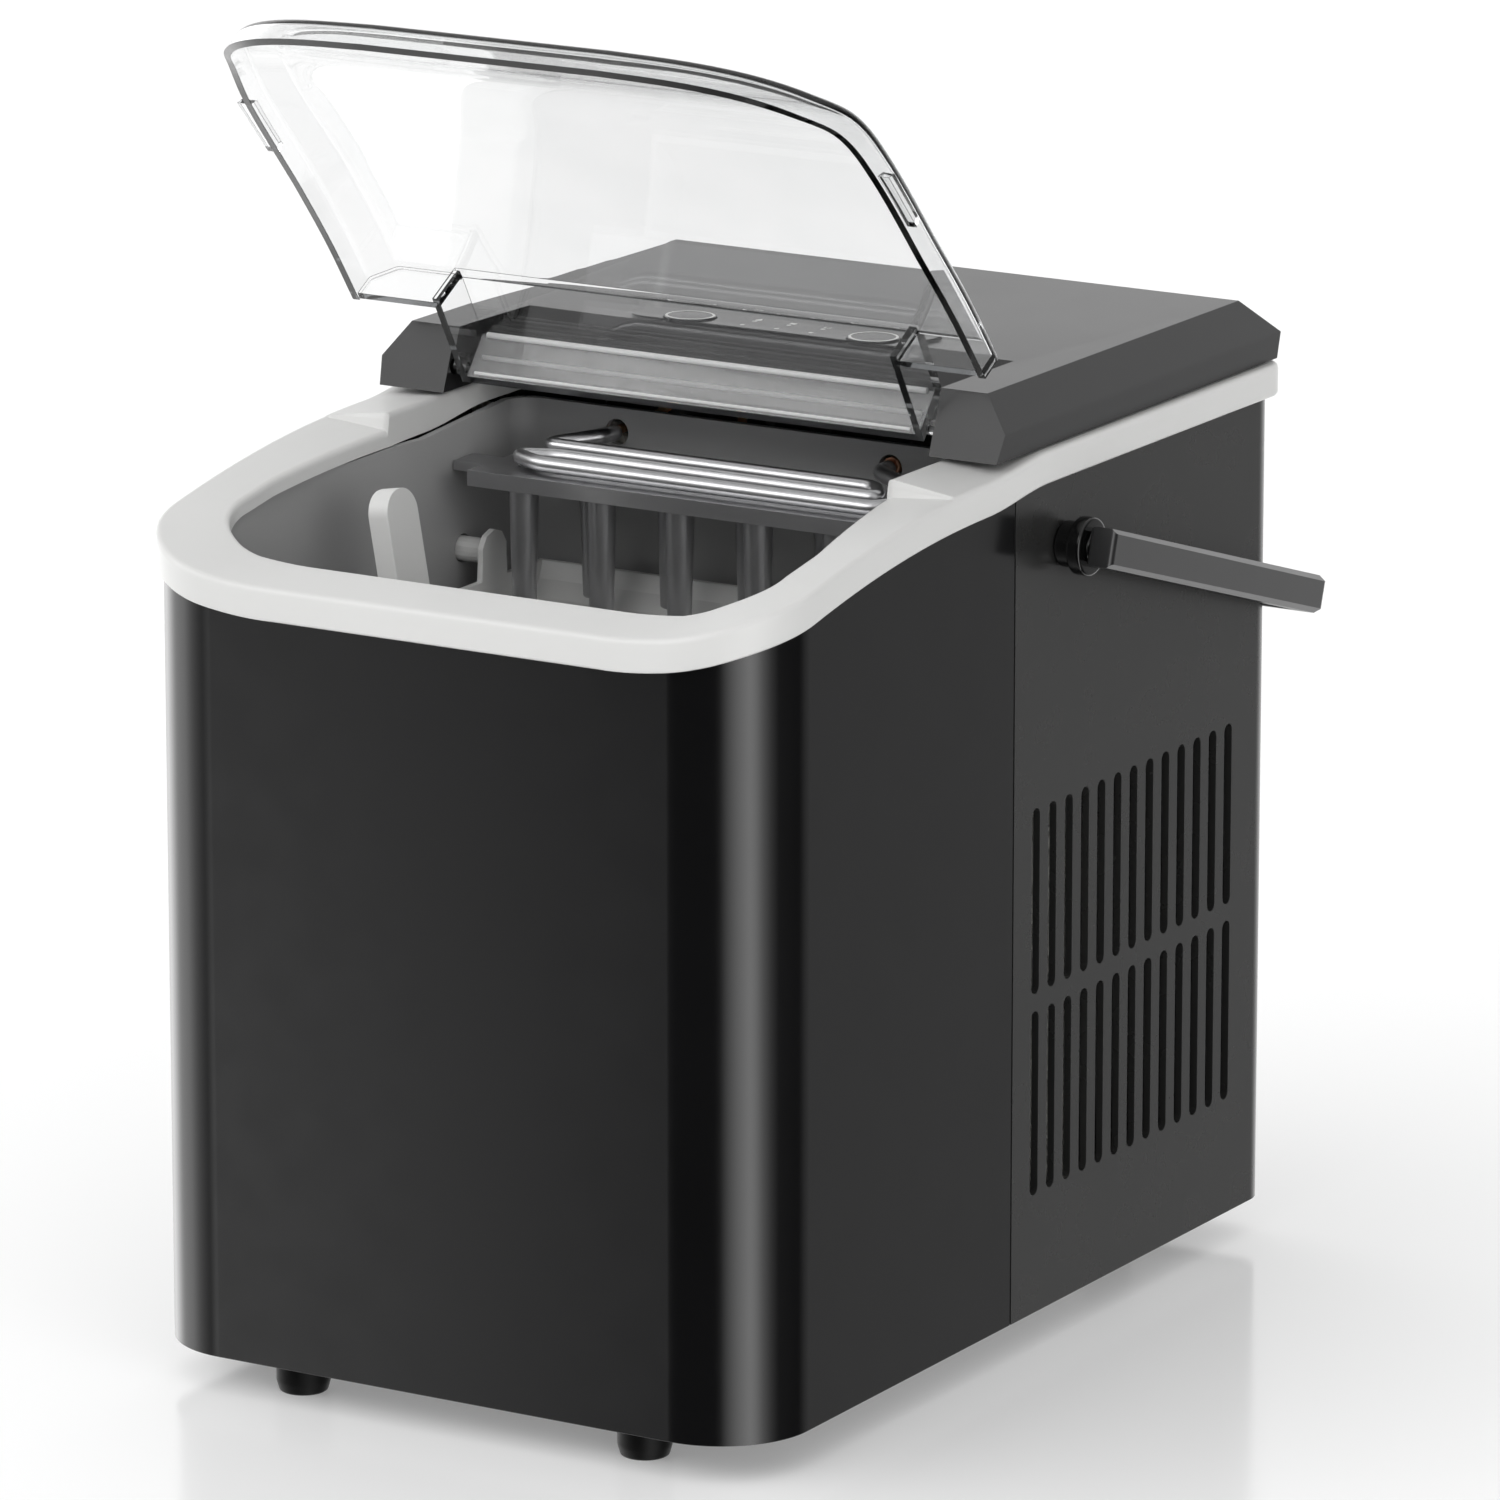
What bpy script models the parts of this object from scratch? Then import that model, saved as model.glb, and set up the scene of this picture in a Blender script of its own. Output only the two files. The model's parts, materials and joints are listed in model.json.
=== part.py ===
"""Countertop ice maker: casings, clear lid, bin, ice-making mechanism and refrigeration circuit.

Metres, +Z up.  Every piece hangs under one empty at the front face of the body, so a piece's own
coordinates are: x to the right of the middle, y back from the front face, z up from the table.
"""
import math

import bmesh
import bpy
from mathutils import Matrix, Vector

# ---------------------------------------------------------------- driving dimensions
BODY_WIDTH = 0.224
BODY_DEPTH = 0.3234
BODY_BOTTOM = 0.012
WALL = 0.0025
GAP = 0.0004
FRONT_CORNER = 0.0302
REAR_CORNER = 0.007
SEAM_Y = 0.1545

COLLAR_OVERHANG = 0.0025
COLLAR_HEIGHT = 0.0103
COLLAR_FRONT_TOP = 0.2593
COLLAR_RISE = 0.026
COLLAR_RISE_RUN = 0.160
COLLAR_RISE_EASE = 0.020
COLLAR_FRONT_LIFT = 0.0028
OPENING_FALL = 0.0050
COLLAR_REAR_STEP = 0.0032
SHOULDER_Y = 0.114
SHOULDER_TOP = 0.288

OPENING_HALF = 0.097
OPENING_SHOULDER_HALF = 0.090
OPENING_FRONT = 0.020
OPENING_CORNER = 0.022
OPENING_TAPER_Y = 0.060
OPENING_BACK = 0.300

COVER_BOTTOM = 0.2892
COVER_RIDGE = 0.298
COVER_TOP = 0.3093
COVER_FRONT = 0.1425
COVER_HALF = 0.1130
COVER_CHAMFER = 0.0087
ARM_INNER = 0.088
RAMP_FOOT_Y = 0.168
RAMP_HEAD_Y = 0.195
COVER_BACK_TOP_Y = 0.311

HINGE_Y = 0.1493
HINGE_Z = 0.2967
LID_OPEN = math.radians(60)
LID_THICK = 0.0025
LID_SKIRT = 0.0097
LID_CHAMFER_RISE = 0.0078
LID_CHAMFER_IN = 0.0087
LID_NOTCH_Y = 0.1215
LID_NOTCH_HALF = 0.1143
LID_HALF = 0.1127
LID_CURVE_Y = 0.0669
LID_FRONT_Y = -0.0225
LID_SQUARENESS = 4.5
LID_NOSE_TURN = math.radians(76)
LID_TAIL_HALF = 0.0838
LID_TAIL_Y = 0.1460
LID_BOTTOM = 0.2921
# height of the closed lid's rim above the table, from its nose back to the notches
LID_RIM_CURVE = ((-0.0225, 0.2522), (-0.0060, 0.2612), (0.0080, 0.2692), (0.0280, 0.2742),
                 (0.0690, 0.2832), (0.0960, 0.2885), (0.1220, LID_BOTTOM))

PANEL_HALF = 0.055
PANEL_FRONT = 0.1965
PANEL_BACK = 0.2150
BUTTON_X = 0.0335
BUTTON_Y = 0.2035
BUTTON_RADIUS = 0.0082
BUTTON_CLEAR = 0.0005

HANDLE_Y = 0.1845
HANDLE_Z = 0.2565
HANDLE_REACH = 0.154
HANDLE_DROOP = math.radians(17.0)
HANDLE_ROOT_X = 0.1283
HANDLE_ROOT_REACH = -0.0062
HANDLE_END_X = 0.1195
HANDLE_TALL = 0.0122
HANDLE_THICK = 0.009
HANDLE_FACET = 0.0014

TUB_HALF = 0.0990
TUB_SHOULDER_HALF = 0.0892
TUB_BAY_HALF = 0.0860
TUB_FRONT = 0.0206
TUB_CORNER = 0.0225
TUB_BACK = 0.1846
TUB_WALL = 0.0024
TUB_BOTTOM = 0.0284
BASKET_HALF = 0.0840
BASKET_FRONT = 0.0270
BASKET_BACK = 0.1150
BASKET_BOTTOM = 0.1030
BASKET_TOP = 0.1900
BASKET_WALL = 0.0022
SCOOP_LENGTH = 0.084
SCOOP_HALF = 0.030
SCOOP_DEPTH = 0.031
SCOOP_HANDLE = 0.084
SCOOP_TILT = math.radians(80)
SCOOP_PLACE = (-0.0465, 0.0760, 0.1920)

TRAY_Y = 0.150
TRAY_Z = 0.238
TRAY_RADIUS = 0.0315
TRAY_ARC = math.radians(75)
TRAY_HALF = 0.076
TRAY_WALL = 0.002

VENT_COUNT = 13
VENT_FIRST_Y = 0.1685
VENT_PITCH = 0.010383
VENT_WIDTH = 0.0050
VENT_ROWS = ((0.0506, 0.1103), (0.1158, 0.1755))

FAN_Y = 0.262
FAN_Z = 0.112
FAN_RADIUS = 0.043

# the box of the whole object runs from the collar's front to the back of the carry handle
HANDLE_BACK = HANDLE_Y + (HANDLE_REACH + HANDLE_THICK / 2) * math.cos(HANDLE_DROOP)
HANDLE_BACK += (HANDLE_TALL / 2 - HANDLE_FACET) * math.sin(HANDLE_DROOP)
FRONT_Y = -(HANDLE_BACK - COLLAR_OVERHANG) / 2

FINISHES = {
    "shell": ((0.012, 0.012, 0.013), 0.22, 0.0),
    "rear": ((0.030, 0.030, 0.030), 0.34, 0.0),
    "cover": ((0.022, 0.022, 0.023), 0.28, 0.0),
    "collar": ((0.68, 0.68, 0.67), 0.38, 0.0),
    "clear": ((0.90, 0.92, 0.92), 0.05, 0.0),
    "grey": ((0.30, 0.30, 0.30), 0.45, 0.0),
    "white": ((0.75, 0.75, 0.74), 0.45, 0.0),
    "rubber": ((0.010, 0.010, 0.010), 0.75, 0.0),
    "foam": ((0.80, 0.80, 0.78), 0.90, 0.0),
    "steel": ((0.55, 0.55, 0.56), 0.30, 1.0),
    "copper": ((0.72, 0.38, 0.22), 0.35, 1.0),
    "board": ((0.02, 0.16, 0.07), 0.50, 0.0),
}


# ---------------------------------------------------------------- scene and helpers
def clear_scene():
    for old in list(bpy.data.objects):
        bpy.data.objects.remove(old, do_unlink=True)


def new_collection(name):
    collection = bpy.data.collections.new(name)
    bpy.context.scene.collection.children.link(collection)
    return collection


def add_finish(obj, finish):
    colour, roughness, metallic = FINISHES[finish]
    material = bpy.data.materials.new(obj.name + "_finish")
    material.use_nodes = True
    shader = material.node_tree.nodes["Principled BSDF"]
    shader.inputs["Base Color"].default_value = (*colour, 1.0)
    shader.inputs["Roughness"].default_value = roughness
    shader.inputs["Metallic"].default_value = metallic
    if finish == "clear":
        shader.inputs["Transmission Weight"].default_value = 1.0
        shader.inputs["IOR"].default_value = 1.49
    material.diffuse_color = (*colour, 1.0)
    obj.data.materials.clear()
    obj.data.materials.append(material)


def add_object(name, data, finish=None):
    """A part when it has a finish, a hidden cutter when it has none."""
    obj = bpy.data.objects.new(name, data)
    if finish:
        PARTS.objects.link(obj)
        add_finish(obj, finish)
    else:
        CUTTERS.objects.link(obj)
        obj.hide_render = True
        obj.display_type = "WIRE"
    obj.parent = MACHINE
    return obj


def mesh_from(bm, name):
    bmesh.ops.recalc_face_normals(bm, faces=bm.faces)
    mesh = bpy.data.meshes.new(name)
    bm.to_mesh(mesh)
    bm.free()
    mesh.shade_smooth()
    mesh.set_sharp_from_angle(angle=math.radians(30))
    return mesh


def box(name, low, high, finish=None, bevel=0.0):
    """A block between two opposite corners, with its edges rounded when bevel is given."""
    low, high = Vector(low), Vector(high)
    bm = bmesh.new()
    bmesh.ops.create_cube(bm, size=1.0)
    bmesh.ops.scale(bm, vec=high - low, verts=bm.verts)
    obj = add_object(name, mesh_from(bm, name), finish)
    obj.location = (low + high) / 2
    if bevel:
        rounding = obj.modifiers.new("rounded_edges", "BEVEL")
        rounding.width = bevel
        rounding.segments = 2
    return obj


AXIS_TURN = {
    "X": Matrix(((0, 0, 1), (1, 0, 0), (0, 1, 0))),
    "Y": Matrix(((1, 0, 0), (0, 0, -1), (0, 1, 0))),
    "Z": Matrix.Identity(3),
}


def cylinder(name, radius, start, length, axis, finish=None, sides=24, tip_radius=None):
    """A cylinder or cone from a start point along +X, +Y or +Z."""
    bm = bmesh.new()
    end_radius = radius if tip_radius is None else tip_radius
    bmesh.ops.create_cone(bm, cap_ends=True, segments=sides, radius1=radius, radius2=end_radius,
                          depth=length)
    turn = AXIS_TURN[axis]
    flip = Matrix.Diagonal((1, 1, -1)) if axis == "Y" else Matrix.Identity(3)
    bmesh.ops.transform(bm, matrix=(turn @ flip).to_4x4(), verts=bm.verts)
    obj = add_object(name, mesh_from(bm, name), finish)
    direction = {"X": Vector((1, 0, 0)), "Y": Vector((0, 1, 0)), "Z": Vector((0, 0, 1))}[axis]
    obj.location = Vector(start) + direction * length / 2
    return obj


def prism(name, outline, axis, low, high, finish=None):
    """A flat outline given in the plane across the axis, thickened from low to high along it."""
    curve = bpy.data.curves.new(name, "CURVE")
    curve.dimensions = "2D"
    curve.fill_mode = "BOTH"
    curve.extrude = (high - low) / 2
    spline = curve.splines.new("POLY")
    spline.points.add(len(outline) - 1)
    for point, (across, along) in zip(spline.points, outline):
        point.co = (across, along, 0.0, 1.0)
    spline.use_cyclic_u = True
    source = bpy.data.objects.new(name + "_outline", curve)
    PARTS.objects.link(source)
    bpy.context.view_layer.update()
    mesh = bpy.data.meshes.new_from_object(source.evaluated_get(bpy.context.evaluated_depsgraph_get()))
    bpy.data.objects.remove(source, do_unlink=True)
    bm = bmesh.new()
    bm.from_mesh(mesh)
    bmesh.ops.remove_doubles(bm, verts=bm.verts, dist=0.00001)
    middle = (low + high) / 2
    shift = {"X": (middle, 0, 0), "Y": (0, middle, 0), "Z": (0, 0, middle)}[axis]
    bmesh.ops.transform(bm, matrix=AXIS_TURN[axis].to_4x4(), verts=bm.verts)
    bmesh.ops.translate(bm, vec=shift, verts=bm.verts)
    return add_object(name, mesh_from(bm, name), finish)


def turned(name, profile, place, axis, finish, steps=24):
    """A turned solid: (radius, height) points down the outer side, from the axis to the axis or a loop."""
    bm = bmesh.new()
    verts = [bm.verts.new((radius, 0, height)) for radius, height in profile]
    for first, second in zip(verts, verts[1:]):
        bm.edges.new((first, second))
    if profile[0][0] > 0:
        bm.edges.new((verts[-1], verts[0]))
    mesh = bpy.data.meshes.new(name)
    bm.to_mesh(mesh)
    bm.free()
    obj = add_object(name, mesh, finish)
    screw = obj.modifiers.new("turning", "SCREW")
    screw.steps = steps
    screw.render_steps = steps
    screw.use_merge_vertices = True
    screw.merge_threshold = 0.00002
    obj.location = place
    tilt = {"X": (0, math.pi / 2, 0), "-X": (0, -math.pi / 2, 0), "Y": (-math.pi / 2, 0, 0), "Z": (0, 0, 0)}
    obj.rotation_euler = tilt[axis]
    return obj


def tube(name, points, radius, finish, resolution=2):
    """A round tube through a list of points."""
    curve = bpy.data.curves.new(name, "CURVE")
    curve.dimensions = "3D"
    curve.bevel_depth = radius
    curve.bevel_resolution = resolution
    curve.use_fill_caps = True
    spline = curve.splines.new("POLY")
    spline.points.add(len(points) - 1)
    for point, place in zip(spline.points, points):
        point.co = (*place, 1.0)
    return add_object(name, curve, finish)


def rounded_path(corners, radius, steps=4):
    """The corner points of a route with each bend replaced by a short arc."""
    corners = [Vector(corner) for corner in corners]
    path = [corners[0]]
    for before, here, after in zip(corners, corners[1:], corners[2:]):
        inward = (before - here).normalized() * radius
        onward = (after - here).normalized() * radius
        for step in range(steps + 1):
            t = step / steps
            path.append(here + inward * (1 - t) ** 2 + onward * t ** 2)
    path.append(corners[-1])
    return path


def grid(name, rows, finish, thickness=0.0, mirror=False):
    """A surface lofted through rows of points, mirrored and thickened inwards where asked."""
    bm = bmesh.new()
    made = [[bm.verts.new(point) for point in row] for row in rows]
    for row, following in zip(made, made[1:]):
        for a, b, c, d in zip(row, row[1:], following[1:], following):
            bm.faces.new((a, b, c, d))
    bmesh.ops.remove_doubles(bm, verts=bm.verts, dist=0.00002)
    mesh = bpy.data.meshes.new(name)
    bm.to_mesh(mesh)
    bm.free()
    mesh.shade_smooth()
    mesh.set_sharp_from_angle(angle=math.radians(30))
    obj = add_object(name, mesh, finish)
    if mirror:
        both = obj.modifiers.new("both_sides", "MIRROR")
        both.use_clip = True
        both.merge_threshold = 0.00005
    if thickness:
        solid = obj.modifiers.new("wall", "SOLIDIFY")
        solid.thickness = thickness
        solid.offset = -1.0
        solid.use_even_offset = True
    return obj


def boolean(obj, other, operation="DIFFERENCE"):
    step = obj.modifiers.new(operation.lower(), "BOOLEAN")
    step.operation = operation
    step.solver = "EXACT"
    step.object = other
    return step


def merge_cutters(name, pieces):
    """One cutter mesh from several that stand apart, so that one Boolean makes every hole."""
    bm = bmesh.new()
    for piece in pieces:
        copy = piece.data.copy()
        copy.transform(piece.matrix_basis)
        bm.from_mesh(copy)
        bpy.data.meshes.remove(copy)
        bpy.data.objects.remove(piece, do_unlink=True)
    return add_object(name, mesh_from(bm, name))


def move_origin(obj, point):
    """Put a piece's origin on its joint's axis without moving the piece."""
    point = Vector(point)
    obj.data.transform(Matrix.Translation(obj.matrix_basis.translation - point))
    obj.location = point


def smoothstep(low, high, value):
    t = min(1.0, max(0.0, (value - low) / (high - low)))
    return t * t * (3 - 2 * t)


def arc(centre, radius, start, end, steps):
    """Points on an arc, angles in degrees."""
    turns = [math.radians(start + (end - start) * step / steps) for step in range(steps + 1)]
    return [(centre[0] + radius * math.cos(turn), centre[1] + radius * math.sin(turn)) for turn in turns]


def rounded_rectangle(half_width, low, high, radius, steps=4):
    points = arc((half_width - radius, low + radius), radius, -90, 0, steps)
    points += arc((half_width - radius, high - radius), radius, 0, 90, steps)
    points += arc((-half_width + radius, high - radius), radius, 90, 180, steps)
    points += arc((-half_width + radius, low + radius), radius, 180, 270, steps)
    return points


def stadium(centre_u, low, high, width, steps=4):
    """An upright slot outline with round ends."""
    radius = width / 2
    points = arc((centre_u, high - radius), radius, 0, 180, steps)
    points += arc((centre_u, low + radius), radius, 180, 360, steps)
    return points


# ---------------------------------------------------------------- outline of the body
CORNER_STEPS = 8
FRONT_SHARES = (0.0, 0.72, 0.86, 0.95)


def side_rise(run):
    """Share of the collar's rise at a run along the side, counted from the start of the corner."""
    return math.sin(math.pi / 2 * min(1.0, max(0.0, run) / COLLAR_RISE_RUN)) ** 0.85


def collar_top(run, depth):
    """Height of the collar's top outer edge: flat in front, easing into the rise round the corner."""
    nearby = [side_rise(run + COLLAR_RISE_EASE * shift / 8) for shift in range(-8, 9)]
    rise = sum(nearby) / len(nearby)
    return COLLAR_FRONT_TOP + COLLAR_RISE * rise + COLLAR_REAR_STEP * smoothstep(0.135, 0.172, depth)


def opening_height(run, depth):
    """Height of the opening's edge: above the collar's outer edge in front, below it along the sides."""
    fall = OPENING_FALL * smoothstep(-0.020, 0.075, run)
    return collar_top(run, depth) + COLLAR_FRONT_LIFT - fall


def opening_station(number, x, y, run):
    """The point of the opening's edge that matches an outer station, with its run."""
    corner_step = number - len(FRONT_SHARES)
    corner_x, corner_y = OPENING_HALF - OPENING_CORNER, OPENING_FRONT + OPENING_CORNER
    if corner_step < 0:
        return corner_x * FRONT_SHARES[number], OPENING_FRONT, run
    if corner_step <= CORNER_STEPS:
        share = corner_step / CORNER_STEPS
        across, back = math.sin(math.pi / 2 * share), math.cos(math.pi / 2 * share)
        eased_run = run + (corner_y - FRONT_CORNER) * share
        return corner_x + OPENING_CORNER * across, corner_y - OPENING_CORNER * back, eased_run
    share = min(1.0, (y - FRONT_CORNER) / (SHOULDER_Y - FRONT_CORNER))
    inner_y = corner_y + (SHOULDER_Y - corner_y) * share + max(0.0, y - SHOULDER_Y)
    inner_y = min(inner_y, OPENING_BACK)
    return min(x, opening_half(inner_y)), inner_y, run + inner_y - y


def band_height(run, depth):
    """Height of the collar's inner edge, raised to the shoulders behind SHOULDER_Y."""
    if depth > SHOULDER_Y:
        return max(SHOULDER_TOP, collar_top(run, depth))
    return opening_height(run, depth)


def opening_half(depth):
    """Half width of the opening: it narrows from the front corners to the shoulders."""
    taper = min(1.0, max(0.0, (depth - OPENING_TAPER_Y) / (SHOULDER_Y - OPENING_TAPER_Y)))
    return OPENING_HALF + (OPENING_SHOULDER_HALF - OPENING_HALF) * taper


def front_stations(offset, last_y, breaks=()):
    """Points from the front middle round the right front corner and back to last_y, with their run."""
    half = BODY_WIDTH / 2 + offset
    radius = FRONT_CORNER + offset
    centre = (half - radius, radius - offset)
    stations = [(centre[0] * share, -offset, centre[0] * (share - 1)) for share in FRONT_SHARES]
    for step in range(CORNER_STEPS + 1):
        turn = math.pi / 2 * step / CORNER_STEPS
        x = centre[0] + radius * math.sin(turn)
        y = centre[1] - radius * math.cos(turn)
        stations.append((x, y, (FRONT_CORNER + COLLAR_OVERHANG) * turn))
    run_at_corner = stations[-1][2]
    for y in breaks:
        if FRONT_CORNER < y < last_y:
            stations.append((half, y, run_at_corner + y - FRONT_CORNER))
    stations.append((half, last_y, run_at_corner + last_y - FRONT_CORNER))
    return stations


SIDE_BREAKS = (0.050, 0.070, 0.090, 0.110, 0.135, 0.150)


# ---------------------------------------------------------------- casings
def front_shell():
    stations = front_stations(0.0, SEAM_Y - GAP / 2, SIDE_BREAKS)
    bottom = [(x, y, BODY_BOTTOM) for x, y, run in stations]
    top = [(x, y, collar_top(run, y) - COLLAR_HEIGHT - GAP) for x, y, run in stations]
    shell = grid("front_shell", (bottom, top), "shell", WALL, mirror=True)
    drain = cylinder("drain_hole", 0.0078, (-BODY_WIDTH / 2 - 0.01, 0.070, 0.038), 0.02, "X")
    boolean(shell, drain)


def rear_shell():
    half = BODY_WIDTH / 2
    corner = arc((half - REAR_CORNER, BODY_DEPTH - REAR_CORNER), REAR_CORNER, 0, 90, 3)
    run = 0.3
    top_z = collar_top(run, 0.3) - COLLAR_HEIGHT - GAP
    seam_top = collar_top(0.18, SEAM_Y) - COLLAR_HEIGHT - GAP
    outline = [(half, SEAM_Y + GAP / 2), (half, 0.175)] + corner + [(0.0, BODY_DEPTH)]
    bottom = [(x, y, BODY_BOTTOM) for x, y in outline]
    top = [(x, y, seam_top if y < 0.16 else top_z) for x, y in outline]
    shell = grid("rear_shell", (bottom, top), "rear", WALL, mirror=True)
    slots = []
    for row, (low, high) in enumerate(VENT_ROWS):
        for number in range(VENT_COUNT):
            centre = VENT_FIRST_Y + number * VENT_PITCH
            outline = stadium(centre, low, high, VENT_WIDTH)
            slots.append(prism(f"slot_{row}_{number}", outline, "X", -0.14, 0.14))
    for x in (-0.098, 0.098):
        for z in (0.030, 0.262):
            slots.append(cylinder(f"screw_hole_{x}_{z}", 0.0022, (x, BODY_DEPTH - 0.01, z), 0.02, "Y",
                                  sides=12))
    slots.append(cylinder("gland_hole", 0.0068, (-0.070, BODY_DEPTH - 0.01, 0.040), 0.02, "Y", sides=16))
    slots.append(cylinder("pivot_hole", 0.0048, (-0.13, HANDLE_Y, HANDLE_Z), 0.26, "X", sides=16))
    boolean(shell, merge_cutters("rear_shell_holes", slots))


def base_plate():
    inset = WALL + 0.0005
    half = BODY_WIDTH / 2 - inset
    front, rear = FRONT_CORNER - inset, REAR_CORNER - inset
    right = arc((half - front, FRONT_CORNER), front, -90, 0, 6)
    right += arc((half - rear, BODY_DEPTH - REAR_CORNER), rear, 0, 90, 2)
    left = [(-x, y) for x, y in reversed(right)]
    prism("base_plate", right + left, "Z", 0.0135, 0.0165, "rear")


def feet():
    places = {"front_left": (-0.062, 0.018), "front_right": (0.062, 0.018),
              "rear_left": (-0.062, 0.3055), "rear_right": (0.062, 0.3055)}
    for side, (x, y) in places.items():
        profile = ((0, 0.0131), (0.0085, 0.0131), (0.0085, 0.0035), (0.0075, 0.0), (0, 0.0))
        turned("foot_" + side, profile, (x, y, 0), "Z", "rubber", 20)


def trim_collar():
    """The light collar: an outer side face, a top band that slopes inwards and two raised shoulders."""
    breaks = (0.050, 0.070, 0.090, SHOULDER_Y - 0.0003, SHOULDER_Y + 0.0003, 0.125, 0.144, 0.160, 0.175)
    outer = front_stations(COLLAR_OVERHANG, 0.290, breaks)
    half = BODY_WIDTH / 2 + COLLAR_OVERHANG
    back = BODY_DEPTH + COLLAR_OVERHANG
    corner = arc((half - 0.009, back - 0.009), 0.009, 0, 90, 3)
    outer += [(x, y, 0.4) for x, y in corner] + [(0.0, back, 0.4)]
    low, high, band = [], [], []
    for number, (x, y, run) in enumerate(outer):
        top = collar_top(run, y)
        low.append((x, y, top - COLLAR_HEIGHT))
        high.append((x, y, top))
        inner_x, inner_y, inner_run = opening_station(number, x, y, run)
        band.append((inner_x, inner_y, band_height(inner_run, inner_y)))
    grid("trim_collar", (low, high, band), "collar", WALL, mirror=True)


def cover_section(inset):
    """Cross-section of the cover: side, slope and flat top."""
    half = COVER_HALF - inset
    slope = inset * 0.42
    return ((-half + 0.0012, COVER_BOTTOM if inset == 0 else COVER_BOTTOM - 0.01),
            (-half, COVER_RIDGE - slope), (-half + COVER_CHAMFER + slope, COVER_TOP - inset),
            (half - COVER_CHAMFER - slope, COVER_TOP - inset), (half, COVER_RIDGE - slope),
            (half - 0.0012, COVER_BOTTOM if inset == 0 else COVER_BOTTOM - 0.01))


def top_cover():
    """The dark cover: two arms reach forward beside the lid's tail, and a ramp joins them."""
    cover = prism("top_cover", cover_section(0.0), "Y", COVER_FRONT, BODY_DEPTH, "cover")
    inner = prism("cover_hollow", cover_section(WALL), "Y", RAMP_HEAD_Y + 0.006, BODY_DEPTH - WALL)
    recess = ((0.10, 0.27), (RAMP_FOOT_Y, 0.27), (RAMP_FOOT_Y, 0.2915),
              (RAMP_HEAD_Y, COVER_TOP), (RAMP_HEAD_Y, 0.33), (0.10, 0.33))
    notch = prism("cover_recess", recess, "X", -ARM_INNER, ARM_INNER)
    front = ((0.13, 0.28), (COVER_FRONT, 0.28), (COVER_FRONT, COVER_BOTTOM),
             (COVER_FRONT + 0.0075, COVER_TOP), (COVER_FRONT + 0.0075, 0.33), (0.13, 0.33))
    slant = prism("cover_front_slant", front, "X", -0.13, 0.13)
    rear = ((COVER_BACK_TOP_Y, 0.33), (COVER_BACK_TOP_Y, COVER_TOP), (BODY_DEPTH, COVER_RIDGE), (0.34, 0.33))
    chamfer = prism("cover_back_slope", rear, "X", -0.13, 0.13)
    hollow_slope = ((COVER_BACK_TOP_Y - 0.003, 0.33), (COVER_BACK_TOP_Y - 0.003, 0.3068),
                    (BODY_DEPTH - 0.004, 0.2955), (0.34, 0.2955), (0.34, 0.33))
    trimmed = prism("cover_hollow_slope", hollow_slope, "X", -0.13, 0.13)
    boolean(inner, trimmed)
    for cutter in (notch, slant, chamfer, inner):
        boolean(cover, cutter)
    holes = []
    for side in (-1, 1):
        inner_x, outer_x = ARM_INNER + WALL, COVER_HALF - WALL
        low_x, high_x = sorted((side * inner_x, side * outer_x))
        hollow_back = RAMP_HEAD_Y + 0.007
        arm_hollow = ((0.153, 0.28), (hollow_back, 0.28), (hollow_back, 0.297), (0.153, 0.297))
        holes.append(prism(f"arm_hollow_{side}", arm_hollow, "X", low_x, high_x))
    boolean(cover, merge_cutters("cover_arm_hollows", holes))
    bores = [cylinder(f"button_bore_{side}", BUTTON_RADIUS + BUTTON_CLEAR, (side * BUTTON_X, BUTTON_Y, 0.302),
                      0.02, "Z", sides=20) for side in (-1, 1)]
    boolean(cover, merge_cutters("button_wells", [cylinder(f"button_well_{side}", 0.0102, (
        side * BUTTON_X, BUTTON_Y, 0.296), COVER_TOP - WALL - 0.296, "Z", sides=20) for side in (-1, 1)]))
    bores += [cylinder(f"hinge_bore_{side}", 0.0028, (side * 0.089 - 0.006, HINGE_Y, HINGE_Z), 0.012, "X",
                       sides=16) for side in (-1, 1)]
    boolean(cover, merge_cutters("cover_bores", bores))


def control_panel():
    outline = rounded_rectangle(PANEL_HALF, PANEL_FRONT, PANEL_BACK, 0.004, 3)
    film = prism("control_panel", outline, "Z", COVER_TOP + 0.0003, COVER_TOP + 0.0010, "shell")
    bores = [cylinder(f"film_hole_{side}", BUTTON_RADIUS + BUTTON_CLEAR, (side * BUTTON_X, BUTTON_Y, 0.300),
                      0.02, "Z", sides=20) for side in (-1, 1)]
    boolean(film, merge_cutters("film_holes", bores))


def buttons():
    top = COVER_TOP + 0.0016
    profile = ((0, top), (BUTTON_RADIUS - 0.0005, top), (BUTTON_RADIUS, top - 0.0004), (BUTTON_RADIUS, 0.3058),
               (0.0095, 0.3058), (0.0095, 0.3048), (0.0022, 0.3048), (0.0022, 0.3012), (0, 0.3012))
    for name, side in (("power_button", -1), ("size_button", 1)):
        turned(name, profile, (side * BUTTON_X, BUTTON_Y, 0), "Z", "shell", 20)


def control_board():
    board = box("control_board", (-0.056, 0.202, 0.2986), (0.056, 0.250, 0.3002), "board")
    for number, (x, y) in enumerate(((-0.052, 0.206), (0.052, 0.206), (-0.052, 0.246), (0.052, 0.246))):
        post = cylinder(f"board_post_{number}", 0.0025, (x, y, 0.2995), 0.3064 - 0.2995, "Z", sides=10)
        boolean(board, post, "UNION")
    chip = box("board_chip", (-0.012, 0.228, 0.2970), (0.012, 0.244, 0.2990))
    boolean(board, chip, "UNION")


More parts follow.
